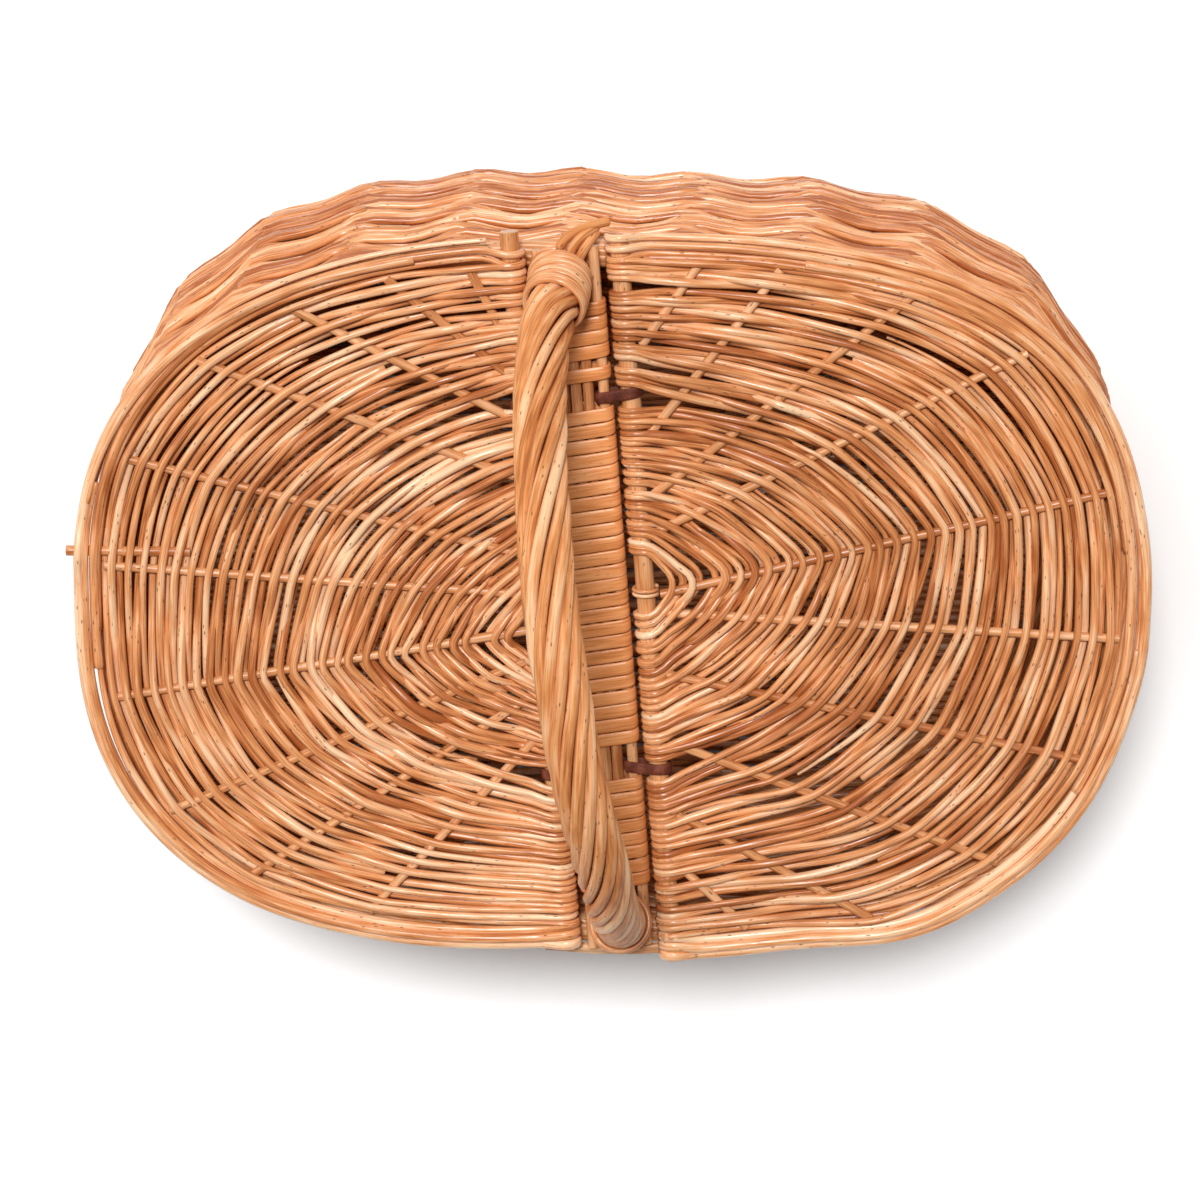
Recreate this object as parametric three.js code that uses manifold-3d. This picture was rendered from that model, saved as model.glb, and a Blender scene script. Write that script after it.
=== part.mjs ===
// An oval willow picnic basket with two hinged lids and one roped handle.
// Millimetres, +Z up. The basket stands on z = 0 with its long axis along X.
// A bridge of bound sticks crosses the short way under the handle, a little turned and shifted,
// and each lid hangs from the bridge by two leather straps.
import * as THREE from 'three';
import { mergeVertices } from 'three/addons/utils/BufferGeometryUtils.js';
import Module from 'manifold-3d';

const wasm = await Module();
wasm.setup();

// Driving dimensions

const clearance = 0.3;

// The two lids together make one oval.
const lidLength = 450;
const lidWidth = 320;
const lidRoundness = 2.57;
const lidRimWidth = 11;
const lidRimHeight = 9;
const lidRimChamfer = 2.4;
const lidMatThickness = 5;
const hingeStickDiameter = 8.2;
const hingeStickOverhang = 2;
const hingeSpacing = 44.8;
const spokeDiameter = 3.6;
const spokeRise = 1.6;
const slotLength = 9;
const slotWidth = 1.8;
const slotPitch = 24;
const slotMargin = 5;
const slotWall = 1.2;
const tabDiameter = 4.4;
const tabLength = 52;
const tabReach = 4.6;
const tabGap = 1.8;
const tabRise = 0.6;

// The body's stakes stand on one oval line that swells between the foot and the rim. At each
// level its length and width are this much less than the lids'.
const bodyRoundness = 2.8;
const footLengthLess = 46;
const footWidthLess = 42;
const bellyLengthLess = 20;
const bellyWidthLess = 3;
const rimLengthLess = 23;
const rimWidthLess = 23;
const bellyHeight = 72;
const bodyHeight = 176;
const borderHeight = 11;
const borderWidth = 13;
const borderChamfer = 3;
const footRingHeight = 8;
const footRingWidth = 10;
const footRingChamfer = 2;
const waleHeight = 14;
const waleThickness = 6;
const waleChamfer = 2;
const stakeDiameter = 6;
const weaverDiameter = 3.6;
const foldEase = 0.8;
const bandRelief = 2.6;
const bandLedge = 1.4;

// The base has long sticks threaded through slit cross sticks, under an oval woven mat.
const baseMatThickness = 6.5;
const baseMatLift = 4.6;
const baseStickLift = 5.6;
const longStickDiameter = 5.6;
const longStickPitch = 30;
const crossStickDiameter = 8;
const crossStickPitch = 55;

// The bridge is five sticks bound side by side with flat skeins of split willow.
const bridgeTurn = 4.3;
const bridgeShift = -8.3;
const bridgeStickDiameter = 4.7;
const bridgeStickGap = 0.35;
const bridgeSideLengthLess = 14;
const bridgeInnerLengthLess = 44;
const skeinWidth = 5.2;
const skeinThickness = 0.8;
const skeinPitch = 5.85;
const backSkeinOffset = 9.2;
const middleSkeinOffset = 10.7;
const frontSkeinOffset = 50.7;
const skeinStrapGap = 1.5;

// Leather straps tie each lid's hinge stick to the outer bridge stick beside it.
const strapThickness = 1.2;
const strapWidth = 5.3;

// The handle is a bow stick inside a sleeve of roped rods.
const handleInset = 9;
const handleRise = 156;
const handleLean = 8.6;
const handleSway = 6.3;
const sleeveLift = 12;
const bowDiameter = 8;
const ropingThickness = 6.7;
const bowTipHeight = 60;
const windingRodDiameter = 2.5;
const windingPitch = 3.05;
const windingLift = 3;
const windingClearance = 0.5;

// Counts, and how finely round things are cut

const ridgesPerSide = 13;
const longStickCount = 3;
const crossStickCount = 5;
const backSkeinTurns = 5;
const frontSkeinTurns = 7;
const backWindingTurns = 8;
const frontWindingTurns = 1.5;
const pointsPerRidge = 4;
const wallStations = 4;
const wallBands = 9;
const archPower = 2.5;
const archSteps = 28;
const lidRimSteps = 30;
const stickSides = 6;
const hingeStickSides = 12;
const sleeveSides = 10;
const stakeSides = 5;
const loopSteps = 24;
const loopSides = 6;
const skeinEndSteps = 3;
const strapArcSteps = 7;
const measuringSteps = 720;
const halvings = 50;

// Spokes of each lid. The first share is the spoke's place along the hinge stick and the second
// its place along the curved rim, both from 0 at the front end to 1 at the back end.
const leftSpokeShares = [
  [0.875, 0.975], [0.82, 0.91], [0.76, 0.83], [0.68, 0.745], [0.575, 0.645],
  [0.52, 0.555], [0.47, 0.445], [0.43, 0.34], [0.38, 0.255], [0.32, 0.155],
];
const rightSpokeShares = [
  [0.85, 0.95], [0.73, 0.89], [0.65, 0.79], [0.6, 0.695], [0.515, 0.57],
  [0.49, 0.455], [0.405, 0.355], [0.31, 0.25], [0.21, 0.145], [0.135, 0.05],
];
const tabSpoke = 5;

// Places of the straps along the bridge, as shares of the lids' width from its middle.
const backStrapShare = 0.2828;
const frontStrapShare = -0.22656;

// Sizes worked out from the ones above

const footLength = lidLength - footLengthLess;
const footWidth = lidWidth - footWidthLess;
const bellyLength = lidLength - bellyLengthLess;
const bellyWidth = lidWidth - bellyWidthLess;
const rimLength = lidLength - rimLengthLess;
const rimWidth = lidWidth - rimWidthLess;
const bridgeSideLength = lidWidth - bridgeSideLengthLess;
const bridgeInnerLength = lidWidth - bridgeInnerLengthLess;
const handleSpan = rimWidth - handleInset;
const backStrapPlace = lidWidth * backStrapShare;
const frontStrapPlace = lidWidth * frontStrapShare;
const backSkeinPlace = backStrapPlace + backSkeinOffset;
const middleSkeinPlace = frontStrapPlace + middleSkeinOffset;
const frontSkeinPlace = frontStrapPlace - frontSkeinOffset;
const middleSkeinRoom = backStrapPlace - strapWidth / 2 - skeinStrapGap - middleSkeinPlace;
const middleSkeinTurns = Math.floor((middleSkeinRoom - skeinWidth) / skeinPitch);
const borderBottom = bodyHeight - borderHeight;
const waleBottom = footRingHeight + clearance;
const waleTop = waleBottom + waleHeight;
const wallBottom = waleTop + clearance;
const wallTop = borderBottom - clearance;
const ridgeReach = (stakeDiameter + weaverDiameter) / 2 + clearance + foldEase;
const bandHeight = (wallTop - wallBottom) / wallBands;
const baseInset = footRingWidth / 2 + clearance;
const lidPlane = bodyHeight + clearance + lidRimHeight / 2;
const bridgePlane = bodyHeight + clearance + bridgeStickDiameter / 2;
const hingeOffset = hingeSpacing / 2;
const lidEdge = hingeStickDiameter / 2 + clearance;
const innerStickPitch = bridgeStickDiameter + bridgeStickGap;
const sideStickPlace = innerStickPitch + bridgeStickDiameter + strapThickness + 2 * clearance;
const skeinRadius = bridgeStickDiameter / 2 + clearance + skeinThickness / 2;
const sleeveRadius = bowDiameter / 2 + clearance + ropingThickness;

const willow = new THREE.MeshStandardMaterial({ color: 0xd49a62, roughness: 0.5, metalness: 0 });
const wovenWillow = new THREE.MeshStandardMaterial({ color: 0xb9763f, roughness: 0.55, metalness: 0 });
const ropedWillow = new THREE.MeshStandardMaterial({ color: 0xc98f63, roughness: 0.5, metalness: 0 });
const leather = new THREE.MeshStandardMaterial({ color: 0x5a2a1a, roughness: 0.6, metalness: 0 });

const origin = new THREE.Vector3();
const alongX = new THREE.Vector3(1, 0, 0);
const alongY = new THREE.Vector3(0, 1, 0);

// Helpers

// A point of an oval with squared shoulders, moved out along the outline's normal.
function ovalPoint(length, width, roundness, angle, out = 0) {
  const c = Math.cos(angle);
  const s = Math.sin(angle);
  const power = 2 / roundness;
  const x = (length / 2) * Math.sign(c) * Math.abs(c) ** power;
  const y = (width / 2) * Math.sign(s) * Math.abs(s) ** power;
  const normal = new THREE.Vector3(
    (Math.sign(c) * Math.abs(c) ** (2 - power)) / length,
    (Math.sign(s) * Math.abs(s) ** (2 - power)) / width,
    0,
  ).normalize();
  return new THREE.Vector3(x, y, 0).addScaledVector(normal, out);
}

// The share between 0 and 1 where a measure that starts below zero crosses it.
function crossing(measure) {
  let low = 0;
  let high = 1;
  for (let i = 0; i < halvings; i += 1) {
    const middle = (low + high) / 2;
    if (measure(middle) < 0) {
      low = middle;
    } else {
      high = middle;
    }
  }
  return low;
}

// Shares of a curve that part it into steps of equal length, with both ends.
function equalShares(curve, steps) {
  const lengths = [0];
  let last = curve(0);
  for (let i = 1; i <= measuringSteps; i += 1) {
    const next = curve(i / measuringSteps);
    lengths.push(lengths[i - 1] + next.distanceTo(last));
    last = next;
  }
  const shares = [0];
  let at = 0;
  for (let k = 1; k < steps; k += 1) {
    const wanted = (lengths[measuringSteps] * k) / steps;
    while (lengths[at + 1] < wanted) {
      at += 1;
    }
    const rest = (wanted - lengths[at]) / (lengths[at + 1] - lengths[at]);
    shares.push((at + rest) / measuringSteps);
  }
  return [...shares, 1];
}

function signedVolume(points, index) {
  const cross = new THREE.Vector3();
  let sum = 0;
  for (let i = 0; i < index.length; i += 3) {
    cross.crossVectors(points[index[i + 1]], points[index[i + 2]]);
    sum += points[index[i]].dot(cross);
  }
  return sum;
}

// Joins rings of points into one closed skin, capped at both ends unless it meets itself.
function skin(rings, meetsItself = false) {
  const count = rings[0].length;
  const spans = meetsItself ? rings.length : rings.length - 1;
  const index = [];
  for (let i = 0; i < spans; i += 1) {
    const near = i * count;
    const far = ((i + 1) % rings.length) * count;
    for (let j = 0; j < count; j += 1) {
      const next = (j + 1) % count;
      index.push(near + j, near + next, far + next);
      index.push(near + j, far + next, far + j);
    }
  }
  if (!meetsItself) {
    const last = (rings.length - 1) * count;
    for (let j = 1; j < count - 1; j += 1) {
      index.push(0, j + 1, j);
      index.push(last, last + j, last + j + 1);
    }
  }
  const points = rings.flat();
  if (signedVolume(points, index) < 0) {
    index.reverse();
  }
  const geometry = new THREE.BufferGeometry().setFromPoints(points);
  geometry.setIndex(index);
  geometry.computeVertexNormals();
  return geometry;
}

// A ring of points about a centre, in the plane of two unit vectors.
function disc(centre, across, up, radius, sides) {
  const points = [];
  for (let i = 0; i < sides; i += 1) {
    const angle = (2 * Math.PI * i) / sides;
    points.push(centre.clone()
      .addScaledVector(across, radius * Math.cos(angle))
      .addScaledVector(up, radius * Math.sin(angle)));
  }
  return points;
}

function flatPoints(points) {
  return points.map((point) => new THREE.Vector2(point.x, point.y));
}

function solid(geometry) {
  const bare = geometry.clone();
  bare.deleteAttribute('normal');
  bare.deleteAttribute('uv');
  const merged = mergeVertices(bare);
  return new wasm.Manifold(new wasm.Mesh({
    numProp: 3,
    vertProperties: merged.getAttribute('position').array,
    triVerts: Uint32Array.from(merged.getIndex().array),
  }));
}

function shell(body) {
  const mesh = body.getMesh();
  const geometry = new THREE.BufferGeometry();
  geometry.setAttribute('position', new THREE.Float32BufferAttribute(mesh.vertProperties, 3));
  geometry.setIndex(Array.from(mesh.triVerts));
  geometry.computeVertexNormals();
  return geometry;
}

function cut(geometry, tools) {
  let body = solid(geometry);
  for (const tool of tools) {
    body = body.subtract(solid(tool));
  }
  return shell(body);
}

// A straight stick between two points.
function stick(from, to, diameter, sides = stickSides) {
  const along = new THREE.Vector3().subVectors(to, from);
  const geometry = new THREE.CylinderGeometry(diameter / 2, diameter / 2, along.length(), sides);
  const turn = new THREE.Quaternion().setFromUnitVectors(alongY, along.normalize());
  const middle = new THREE.Vector3().addVectors(from, to).divideScalar(2);
  return geometry.applyQuaternion(turn).translate(middle.x, middle.y, middle.z);
}

function named(name, geometry, material) {
  const mesh = new THREE.Mesh(geometry, material.clone());
  mesh.name = name;
  return mesh;
}

// The bridge's own frame: the bridge runs along its Y, and X points to the right lid.

const bridge = new THREE.Group();
bridge.rotation.z = THREE.MathUtils.degToRad(bridgeTurn);
bridge.position.x = bridgeShift;
bridge.updateMatrix();
const intoBridge = bridge.matrix.clone().invert();

function toBridge(point) {
  return point.clone().applyMatrix4(intoBridge);
}

// The body's outline

// The stake line's length and width at a height: a parabola on each side of the belly.
function bodySize(z) {
  const isLow = z < bellyHeight;
  const end = isLow ? footRingHeight : borderBottom;
  const share = Math.min((z - bellyHeight) / (end - bellyHeight), 1) ** 2;
  const endLength = isLow ? footLength : rimLength;
  const endWidth = isLow ? footWidth : rimWidth;
  return [
    bellyLength + (endLength - bellyLength) * share,
    bellyWidth + (endWidth - bellyWidth) * share,
  ];
}

// A point of the body at an oval angle and height, moved out from the stake line.
function bodyPoint(angle, z, out = 0) {
  const [length, width] = bodySize(z);
  return ovalPoint(length, width, bodyRoundness, angle, out).setZ(z);
}

// The oval angles where the bridge's middle line crosses the rim.
const backAngle = Math.PI * crossing(
  (share) => -toBridge(bodyPoint(Math.PI * share, borderBottom)).x,
);
const frontAngle = Math.PI + Math.PI * crossing(
  (share) => toBridge(bodyPoint(Math.PI + Math.PI * share, borderBottom)).x,
);

// Equal steps along the rim. One ridge lies at each foot of the handle.
function sideAngles(from, to) {
  const curve = (share) => bodyPoint(from + (to - from) * share, borderBottom);
  const shares = equalShares(curve, ridgesPerSide * pointsPerRidge).slice(0, -1);
  return shares.map((share) => from + (to - from) * share);
}

const wallAngles = [
  ...sideAngles(backAngle, frontAngle),
  ...sideAngles(frontAngle, backAngle + 2 * Math.PI),
];
const ringAngles = wallAngles.filter((angle, i) => i % 2 === 0);
const ridgeAngles = wallAngles.filter((angle, i) => i % pointsPerRidge === 0);

const wallLevels = [];
for (let i = 0; i <= wallStations; i += 1) {
  wallLevels.push(wallBottom + ((wallTop - wallBottom) * i) / wallStations);
}

// Body pieces

// The woven wall is one rod thick. It is folded out round each stake and back in between stakes.
// Its rods are drawn together into bands, and each band stands out at every second stake.
function wallWeave() {
  const rings = ringAngles.map((angle, i) => {
    const isRidge = i % 2 === 0;
    const inner = (isRidge ? ridgeReach : 0) - weaverDiameter / 2;
    const outer = [];
    for (let band = 0; band < wallBands; band += 1) {
      const isLow = isRidge && (i / 2 + band) % 2 === 1;
      const out = inner + weaverDiameter - (isLow ? bandRelief : 0);
      const low = wallBottom + band * bandHeight;
      outer.push(bodyPoint(angle, band ? low + bandLedge / 2 : low, out));
      const high = low + bandHeight;
      outer.push(bodyPoint(angle, band < wallBands - 1 ? high - bandLedge / 2 : high, out));
    }
    return [...outer, ...wallLevels.toReversed().map((z) => bodyPoint(angle, z, inner))];
  });
  return skin(rings, true);
}

function stake(angle) {
  const levels = [waleBottom, ...wallLevels, borderBottom + borderHeight / 2];
  const ring = (z) => disc(bodyPoint(angle, z), alongX, alongY, stakeDiameter / 2, stakeSides);
  return skin(levels.map(ring));
}

// A flat ring with its edges taken off, centred on the stake line of a level.
function ovalRing(bottom, height, width, chamfer, level) {
  const outline = (out) => flatPoints(ringAngles.map((angle) => bodyPoint(angle, level, out)));
  const shape = new THREE.Shape(outline(width / 2));
  shape.holes.push(new THREE.Path(outline(-width / 2)));
  const geometry = new THREE.ExtrudeGeometry(shape, {
    depth: height - 2 * chamfer,
    bevelThickness: chamfer,
    bevelSize: chamfer,
    bevelOffset: -chamfer,
    bevelSegments: 1,
  });
  return geometry.translate(0, 0, bottom + chamfer);
}

function footBorder() {
  return ovalRing(0, footRingHeight, footRingWidth, footRingChamfer, footRingHeight);
}

// The stakes are turned down at the top into a rolled border, so both are one piece. At the two
// feet of the handle the bow takes the stake's place and passes through the border.
function stakesAndBorder() {
  const ring = ovalRing(borderBottom, borderHeight, borderWidth, borderChamfer, borderBottom);
  let body = solid(ring);
  ridgeAngles.forEach((angle, k) => {
    if (k % ridgesPerSide !== 0) {
      body = body.add(solid(stake(angle)));
    }
  });
  const hole = bowStick(clearance).applyMatrix4(bridge.matrix);
  return shell(body.subtract(solid(hole)));
}

// The wale is a band of heavier rods round the feet of the stakes.
function upsettWale() {
  const inner = stakeDiameter / 2 + clearance;
  const outer = inner + waleThickness;
  const corners = [
    [inner, waleBottom], [outer - waleChamfer, waleBottom], [outer, waleBottom + waleChamfer],
    [outer, waleTop - waleChamfer], [outer - waleChamfer, waleTop], [inner, waleTop],
  ];
  const ring = (angle) => corners.map(([out, z]) => bodyPoint(angle, z, out));
  return skin(ringAngles.map(ring), true);
}

// Base pieces

// How far a base stick reaches to each side before it meets the foot ring.
function baseReach(place, radius, runsAlongX) {
  const edge = Math.abs(place) + radius;
  const inner = (share) => bodyPoint((Math.PI / 2) * share, footRingHeight, -baseInset);
  const reach = runsAlongX
    ? inner(crossing((share) => inner(share).y - edge)).x
    : inner(crossing((share) => edge - inner(share).x)).y;
  return reach - clearance;
}

function longStick(i, grow = 0) {
  const y = (i - (longStickCount - 1) / 2) * longStickPitch;
  const end = baseReach(y, longStickDiameter / 2, true);
  const from = new THREE.Vector3(-end, y, baseStickLift);
  const to = new THREE.Vector3(end, y, baseStickLift);
  return stick(from, to, longStickDiameter + 2 * grow);
}

function crossStick(i, grow = 0) {
  const x = (i - (crossStickCount - 1) / 2) * crossStickPitch;
  const end = baseReach(x, crossStickDiameter / 2, false);
  const from = new THREE.Vector3(x, -end, baseStickLift);
  const to = new THREE.Vector3(x, end, baseStickLift);
  return stick(from, to, crossStickDiameter + 2 * grow);
}

const longSticks = Array.from({ length: longStickCount }, (value, i) => i);
const crossSticks = Array.from({ length: crossStickCount }, (value, i) => i);

function baseMat() {
  const edge = ringAngles.map((angle) => bodyPoint(angle, footRingHeight, -baseInset));
  const plate = new THREE.ExtrudeGeometry(new THREE.Shape(flatPoints(edge)), {
    depth: baseMatThickness,
    bevelEnabled: false,
  });
  plate.translate(0, 0, baseMatLift);
  return cut(plate, [
    ...longSticks.map((i) => longStick(i, clearance)),
    ...crossSticks.map((i) => crossStick(i, clearance)),
  ]);
}

// Handle pieces, in the bridge's frame

// The handle's middle line over half a turn, from its back foot to its front foot.
function archPoint(angle) {
  const c = Math.cos(angle);
  return new THREE.Vector3(
    -(handleLean * Math.sin(angle) + handleSway * Math.sin(2 * angle)),
    (handleSpan / 2) * Math.sign(c) * Math.abs(c) ** (2 / archPower),
    bodyHeight + handleRise * (1 - c * c),
  );
}

// The roped part of the handle starts a little above the border at both feet.
function sleeveCurve() {
  const first = Math.asin(Math.sqrt(sleeveLift / handleRise));
  const sweep = Math.PI - 2 * first;
  const points = [];
  for (let i = 0; i <= archSteps; i += 1) {
    points.push(archPoint(first + (sweep * i) / archSteps));
  }
  return new THREE.CatmullRomCurve3(points);
}

const sleevePath = sleeveCurve();
const sleeveStations = sleevePath.getSpacedPoints(archSteps);
const sleeveFrames = sleevePath.computeFrenetFrames(archSteps, false);

function ropedSleeve() {
  const circle = (radius) => flatPoints(disc(origin, alongX, alongY, radius, sleeveSides));
  const shape = new THREE.Shape(circle(sleeveRadius));
  shape.holes.push(new THREE.Path(circle(bowDiameter / 2 + clearance)));
  return new THREE.ExtrudeGeometry(shape, {
    steps: archSteps,
    extrudePath: sleevePath,
    bevelEnabled: false,
  });
}

// The stake line runs straight between two levels of the wall, and so does what follows it.
function stakeLinePoint(angle, z) {
  const above = wallLevels.findIndex((level) => level > z);
  const low = wallLevels[above - 1];
  const high = wallLevels[above];
  return bodyPoint(angle, low).lerp(bodyPoint(angle, high), (z - low) / (high - low));
}

// One end of the bow, from the sleeve's mouth through the border and down inside the wall.
function bowEnd(angle, station, isBack, radius) {
  const levels = wallLevels.filter((z) => z > bowTipHeight).toReversed();
  const points = [
    ...[bodyHeight, borderBottom, ...levels].map((z) => toBridge(bodyPoint(angle, z))),
    toBridge(stakeLinePoint(angle, bowTipHeight)),
  ];
  const spine = [sleeveStations[station], ...points];
  const normal = sleeveFrames.normals[station].clone();
  return points.map((point, i) => {
    const after = spine[Math.min(i + 2, points.length)];
    const along = new THREE.Vector3().subVectors(after, spine[i]).normalize();
    if (isBack) {
      along.negate();
    }
    normal.projectOnPlane(along).normalize();
    const binormal = new THREE.Vector3().crossVectors(along, normal);
    return disc(point, normal, binormal, radius, sleeveSides);
  });
}

// The bow is thick inside the sleeve, and its ends are shaved to a stake's thickness.
function bowStick(grow = 0) {
  const endRadius = stakeDiameter / 2 + grow;
  const radius = bowDiameter / 2 + grow;
  const { normals, binormals } = sleeveFrames;
  return skin([
    ...bowEnd(backAngle, 0, true, endRadius).toReversed(),
    ...sleeveStations.map((point, i) => disc(point, normals[i], binormals[i], radius, sleeveSides)),
    ...bowEnd(frontAngle, archSteps, false, endRadius),
  ]);
}

// Windings. Each is one rod or skein that goes round and round as one unbroken piece.

function printLeastGap(name, rings, stepsPerTurn) {
  let least = Infinity;
  for (let i = 0; i < rings.length; i += 1) {
    for (let j = i + stepsPerTurn / 2; j < rings.length; j += 1) {
      for (const a of rings[i]) {
        for (const b of rings[j]) {
          least = Math.min(least, a.distanceTo(b));
        }
      }
    }
  }
  console.log(`${name}: the least gap between turns is ${least.toFixed(2)} mm`);
}

// A thin rod wound round one foot of the sleeve.
function handleWinding(name, turns, isBack) {
  const reach = sleeveRadius + windingClearance + windingRodDiameter / 2;
  const rings = [];
  for (let i = 0; i <= turns * loopSteps; i += 1) {
    const climb = (windingLift + (windingPitch * i) / loopSteps) / sleevePath.getLength();
    const share = isBack ? climb : 1 - climb;
    const along = sleevePath.getTangentAt(share);
    const up = new THREE.Vector3().crossVectors(along, alongX).normalize();
    const side = new THREE.Vector3().crossVectors(up, along);
    const angle = (2 * Math.PI * i) / loopSteps;
    const out = side.multiplyScalar(Math.cos(angle)).addScaledVector(up, Math.sin(angle));
    const middle = sleevePath.getPointAt(share).addScaledVector(out, reach);
    rings.push(disc(middle, out, along, windingRodDiameter / 2, loopSides));
  }
  printLeastGap(name, rings, loopSteps);
  return skin(rings);
}

// A flat skein bound round the bridge sticks: flat over and under, round at the two sides.
function skeinWinding(name, start, turns) {
  const stops = [];
  for (const side of [1, -1]) {
    for (let i = 0; i <= skeinEndSteps; i += 1) {
      stops.push([side * sideStickPlace, (side * Math.PI) / 2 - (Math.PI * i) / skeinEndSteps]);
    }
  }
  const edge = alongY.clone().multiplyScalar(skeinWidth / 2);
  const rings = [];
  for (let i = 0; i <= turns * stops.length; i += 1) {
    const [place, angle] = stops[i % stops.length];
    const out = new THREE.Vector3(Math.cos(angle), 0, Math.sin(angle));
    const face = out.clone().multiplyScalar(skeinThickness / 2);
    const along = start + skeinWidth / 2 + (skeinPitch * i) / stops.length;
    const middle = new THREE.Vector3(place, along, bridgePlane).addScaledVector(out, skeinRadius);
    rings.push([
      middle.clone().sub(edge).sub(face), middle.clone().sub(edge).add(face),
      middle.clone().add(edge).add(face), middle.clone().add(edge).sub(face),
    ]);
  }
  printLeastGap(name, rings, stops.length);
  return skin(rings);
}

// Bridge pieces

function bridgeStick(place, length) {
  const from = new THREE.Vector3(place, -length / 2, bridgePlane);
  const to = new THREE.Vector3(place, length / 2, bridgePlane);
  return stick(from, to, bridgeStickDiameter);
}

// The tight outline of a band round two circles, as points of the X and Z plane.
function bandOutline(near, far) {
  const apart = new THREE.Vector2().subVectors(far.centre, near.centre);
  const open = Math.acos((near.radius - far.radius) / apart.length());
  const points = [];
  const addArc = (circle, from, sweep) => {
    for (let i = 0; i <= strapArcSteps; i += 1) {
      const angle = from + (sweep * i) / strapArcSteps;
      const out = new THREE.Vector2(Math.cos(angle), Math.sin(angle));
      points.push(out.multiplyScalar(circle.radius).add(circle.centre));
    }
  };
  addArc(near, apart.angle() + open, 2 * (Math.PI - open));
  addArc(far, apart.angle() - open, 2 * open);
  return points;
}

// A strap goes once round the outer bridge stick and once round the lid's hinge stick.
function strap(side, place) {
  const circles = (grow) => [
    {
      centre: new THREE.Vector2(side * sideStickPlace, bridgePlane),
      radius: bridgeStickDiameter / 2 + clearance + grow,
    },
    {
      centre: new THREE.Vector2(side * hingeOffset, lidPlane),
      radius: hingeStickDiameter / 2 + clearance + grow,
    },
  ];
  const shape = new THREE.Shape(bandOutline(...circles(strapThickness)));
  shape.holes.push(new THREE.Path(bandOutline(...circles(0))));
  const geometry = new THREE.ExtrudeGeometry(shape, { depth: strapWidth, bevelEnabled: false });
  return geometry.rotateX(Math.PI / 2).translate(0, place + strapWidth / 2, 0);
}

// Lid pieces, each lid in a frame of its own on its hinge line, level with the lid's middle

function toLid(point, side) {
  const moved = toBridge(point);
  moved.x -= side * hingeOffset;
  return moved;
}

function fromLid(point, side) {
  const moved = point.clone();
  moved.x += side * hingeOffset;
  return moved.applyMatrix4(bridge.matrix);
}

// The lid's curved outline at an inset, cut off at a distance from the hinge line. It runs from
// share 0 at the front end to share 1 at the back end.
function lidOutline(side, inset, edge) {
  const at = (share) => {
    const angle = Math.PI / 2 - side * Math.PI * (1 - share);
    return toLid(ovalPoint(lidLength, lidWidth, lidRoundness, angle, -inset), side);
  };
  const first = crossing((share) => side * at(share).x - edge);
  const last = 1 - crossing((share) => side * at(1 - share).x - edge);
  return (share) => at(first + (last - first) * share);
}

function lidRim(side) {
  const half = lidRimHeight / 2;
  const corners = [
    [0, lidRimChamfer - half], [0, half - lidRimChamfer],
    [lidRimChamfer, half], [lidRimWidth - lidRimChamfer, half],
    [lidRimWidth, half - lidRimChamfer], [lidRimWidth, lidRimChamfer - half],
    [lidRimWidth - lidRimChamfer, -half], [lidRimChamfer, -half],
  ];
  const lines = corners.map(([inset, z]) => {
    const outline = lidOutline(side, inset, lidEdge);
    return equalShares(outline, lidRimSteps).map((share) => outline(share).setZ(z));
  });
  return skin(lines[0].map((point, i) => lines.map((line) => line[i])));
}

// The hinge stick's two ends stand out past the oval outline.
function hingeStick(side) {
  const outline = lidOutline(side, 0, 0);
  const from = new THREE.Vector3(0, outline(0).y - hingeStickOverhang, 0);
  const to = new THREE.Vector3(0, outline(1).y + hingeStickOverhang, 0);
  return stick(from, to, hingeStickDiameter, hingeStickSides);
}

// The point of the rim's inner side that a spoke ends at.
function spokeTip(side, rimShare) {
  const rimLine = lidOutline(side, lidRimWidth + clearance + spokeDiameter / 2, lidEdge);
  const shares = equalShares(rimLine, measuringSteps);
  return rimLine(shares[Math.round(rimShare * measuringSteps)]);
}

// Both ends of a spoke's middle line, level with the lid's middle.
function spokeEnds(side, [hingeShare, rimShare]) {
  const hingeLine = lidOutline(side, 0, 0);
  const from = hingeLine(0).lerp(hingeLine(1), hingeShare);
  from.x = side * (lidEdge + spokeDiameter / 2);
  return [from, spokeTip(side, rimShare)];
}

function spoke(side, shares, grow = 0) {
  const [from, to] = spokeEnds(side, shares);
  return stick(from.setZ(spokeRise), to.setZ(spokeRise), spokeDiameter + 2 * grow);
}

// A short stick pushed in through the left rim, along X, behind the spoke beside it.
function lidTab(grow = 0) {
  const [, rimShare] = leftSpokeShares[tabSpoke];
  const tip = fromLid(spokeTip(-1, rimShare), -1);
  const place = tip.y + (spokeDiameter + tabDiameter) / 2 + tabGap;
  const squeeze = 1 - (place / (lidWidth / 2)) ** lidRoundness;
  const outer = -(lidLength / 2) * squeeze ** (1 / lidRoundness) - tabReach;
  const from = toLid(new THREE.Vector3(outer, place, tabRise), -1);
  const to = toLid(new THREE.Vector3(outer + tabLength, place, tabRise), -1);
  return stick(from, to, tabDiameter + 2 * grow);
}

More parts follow.
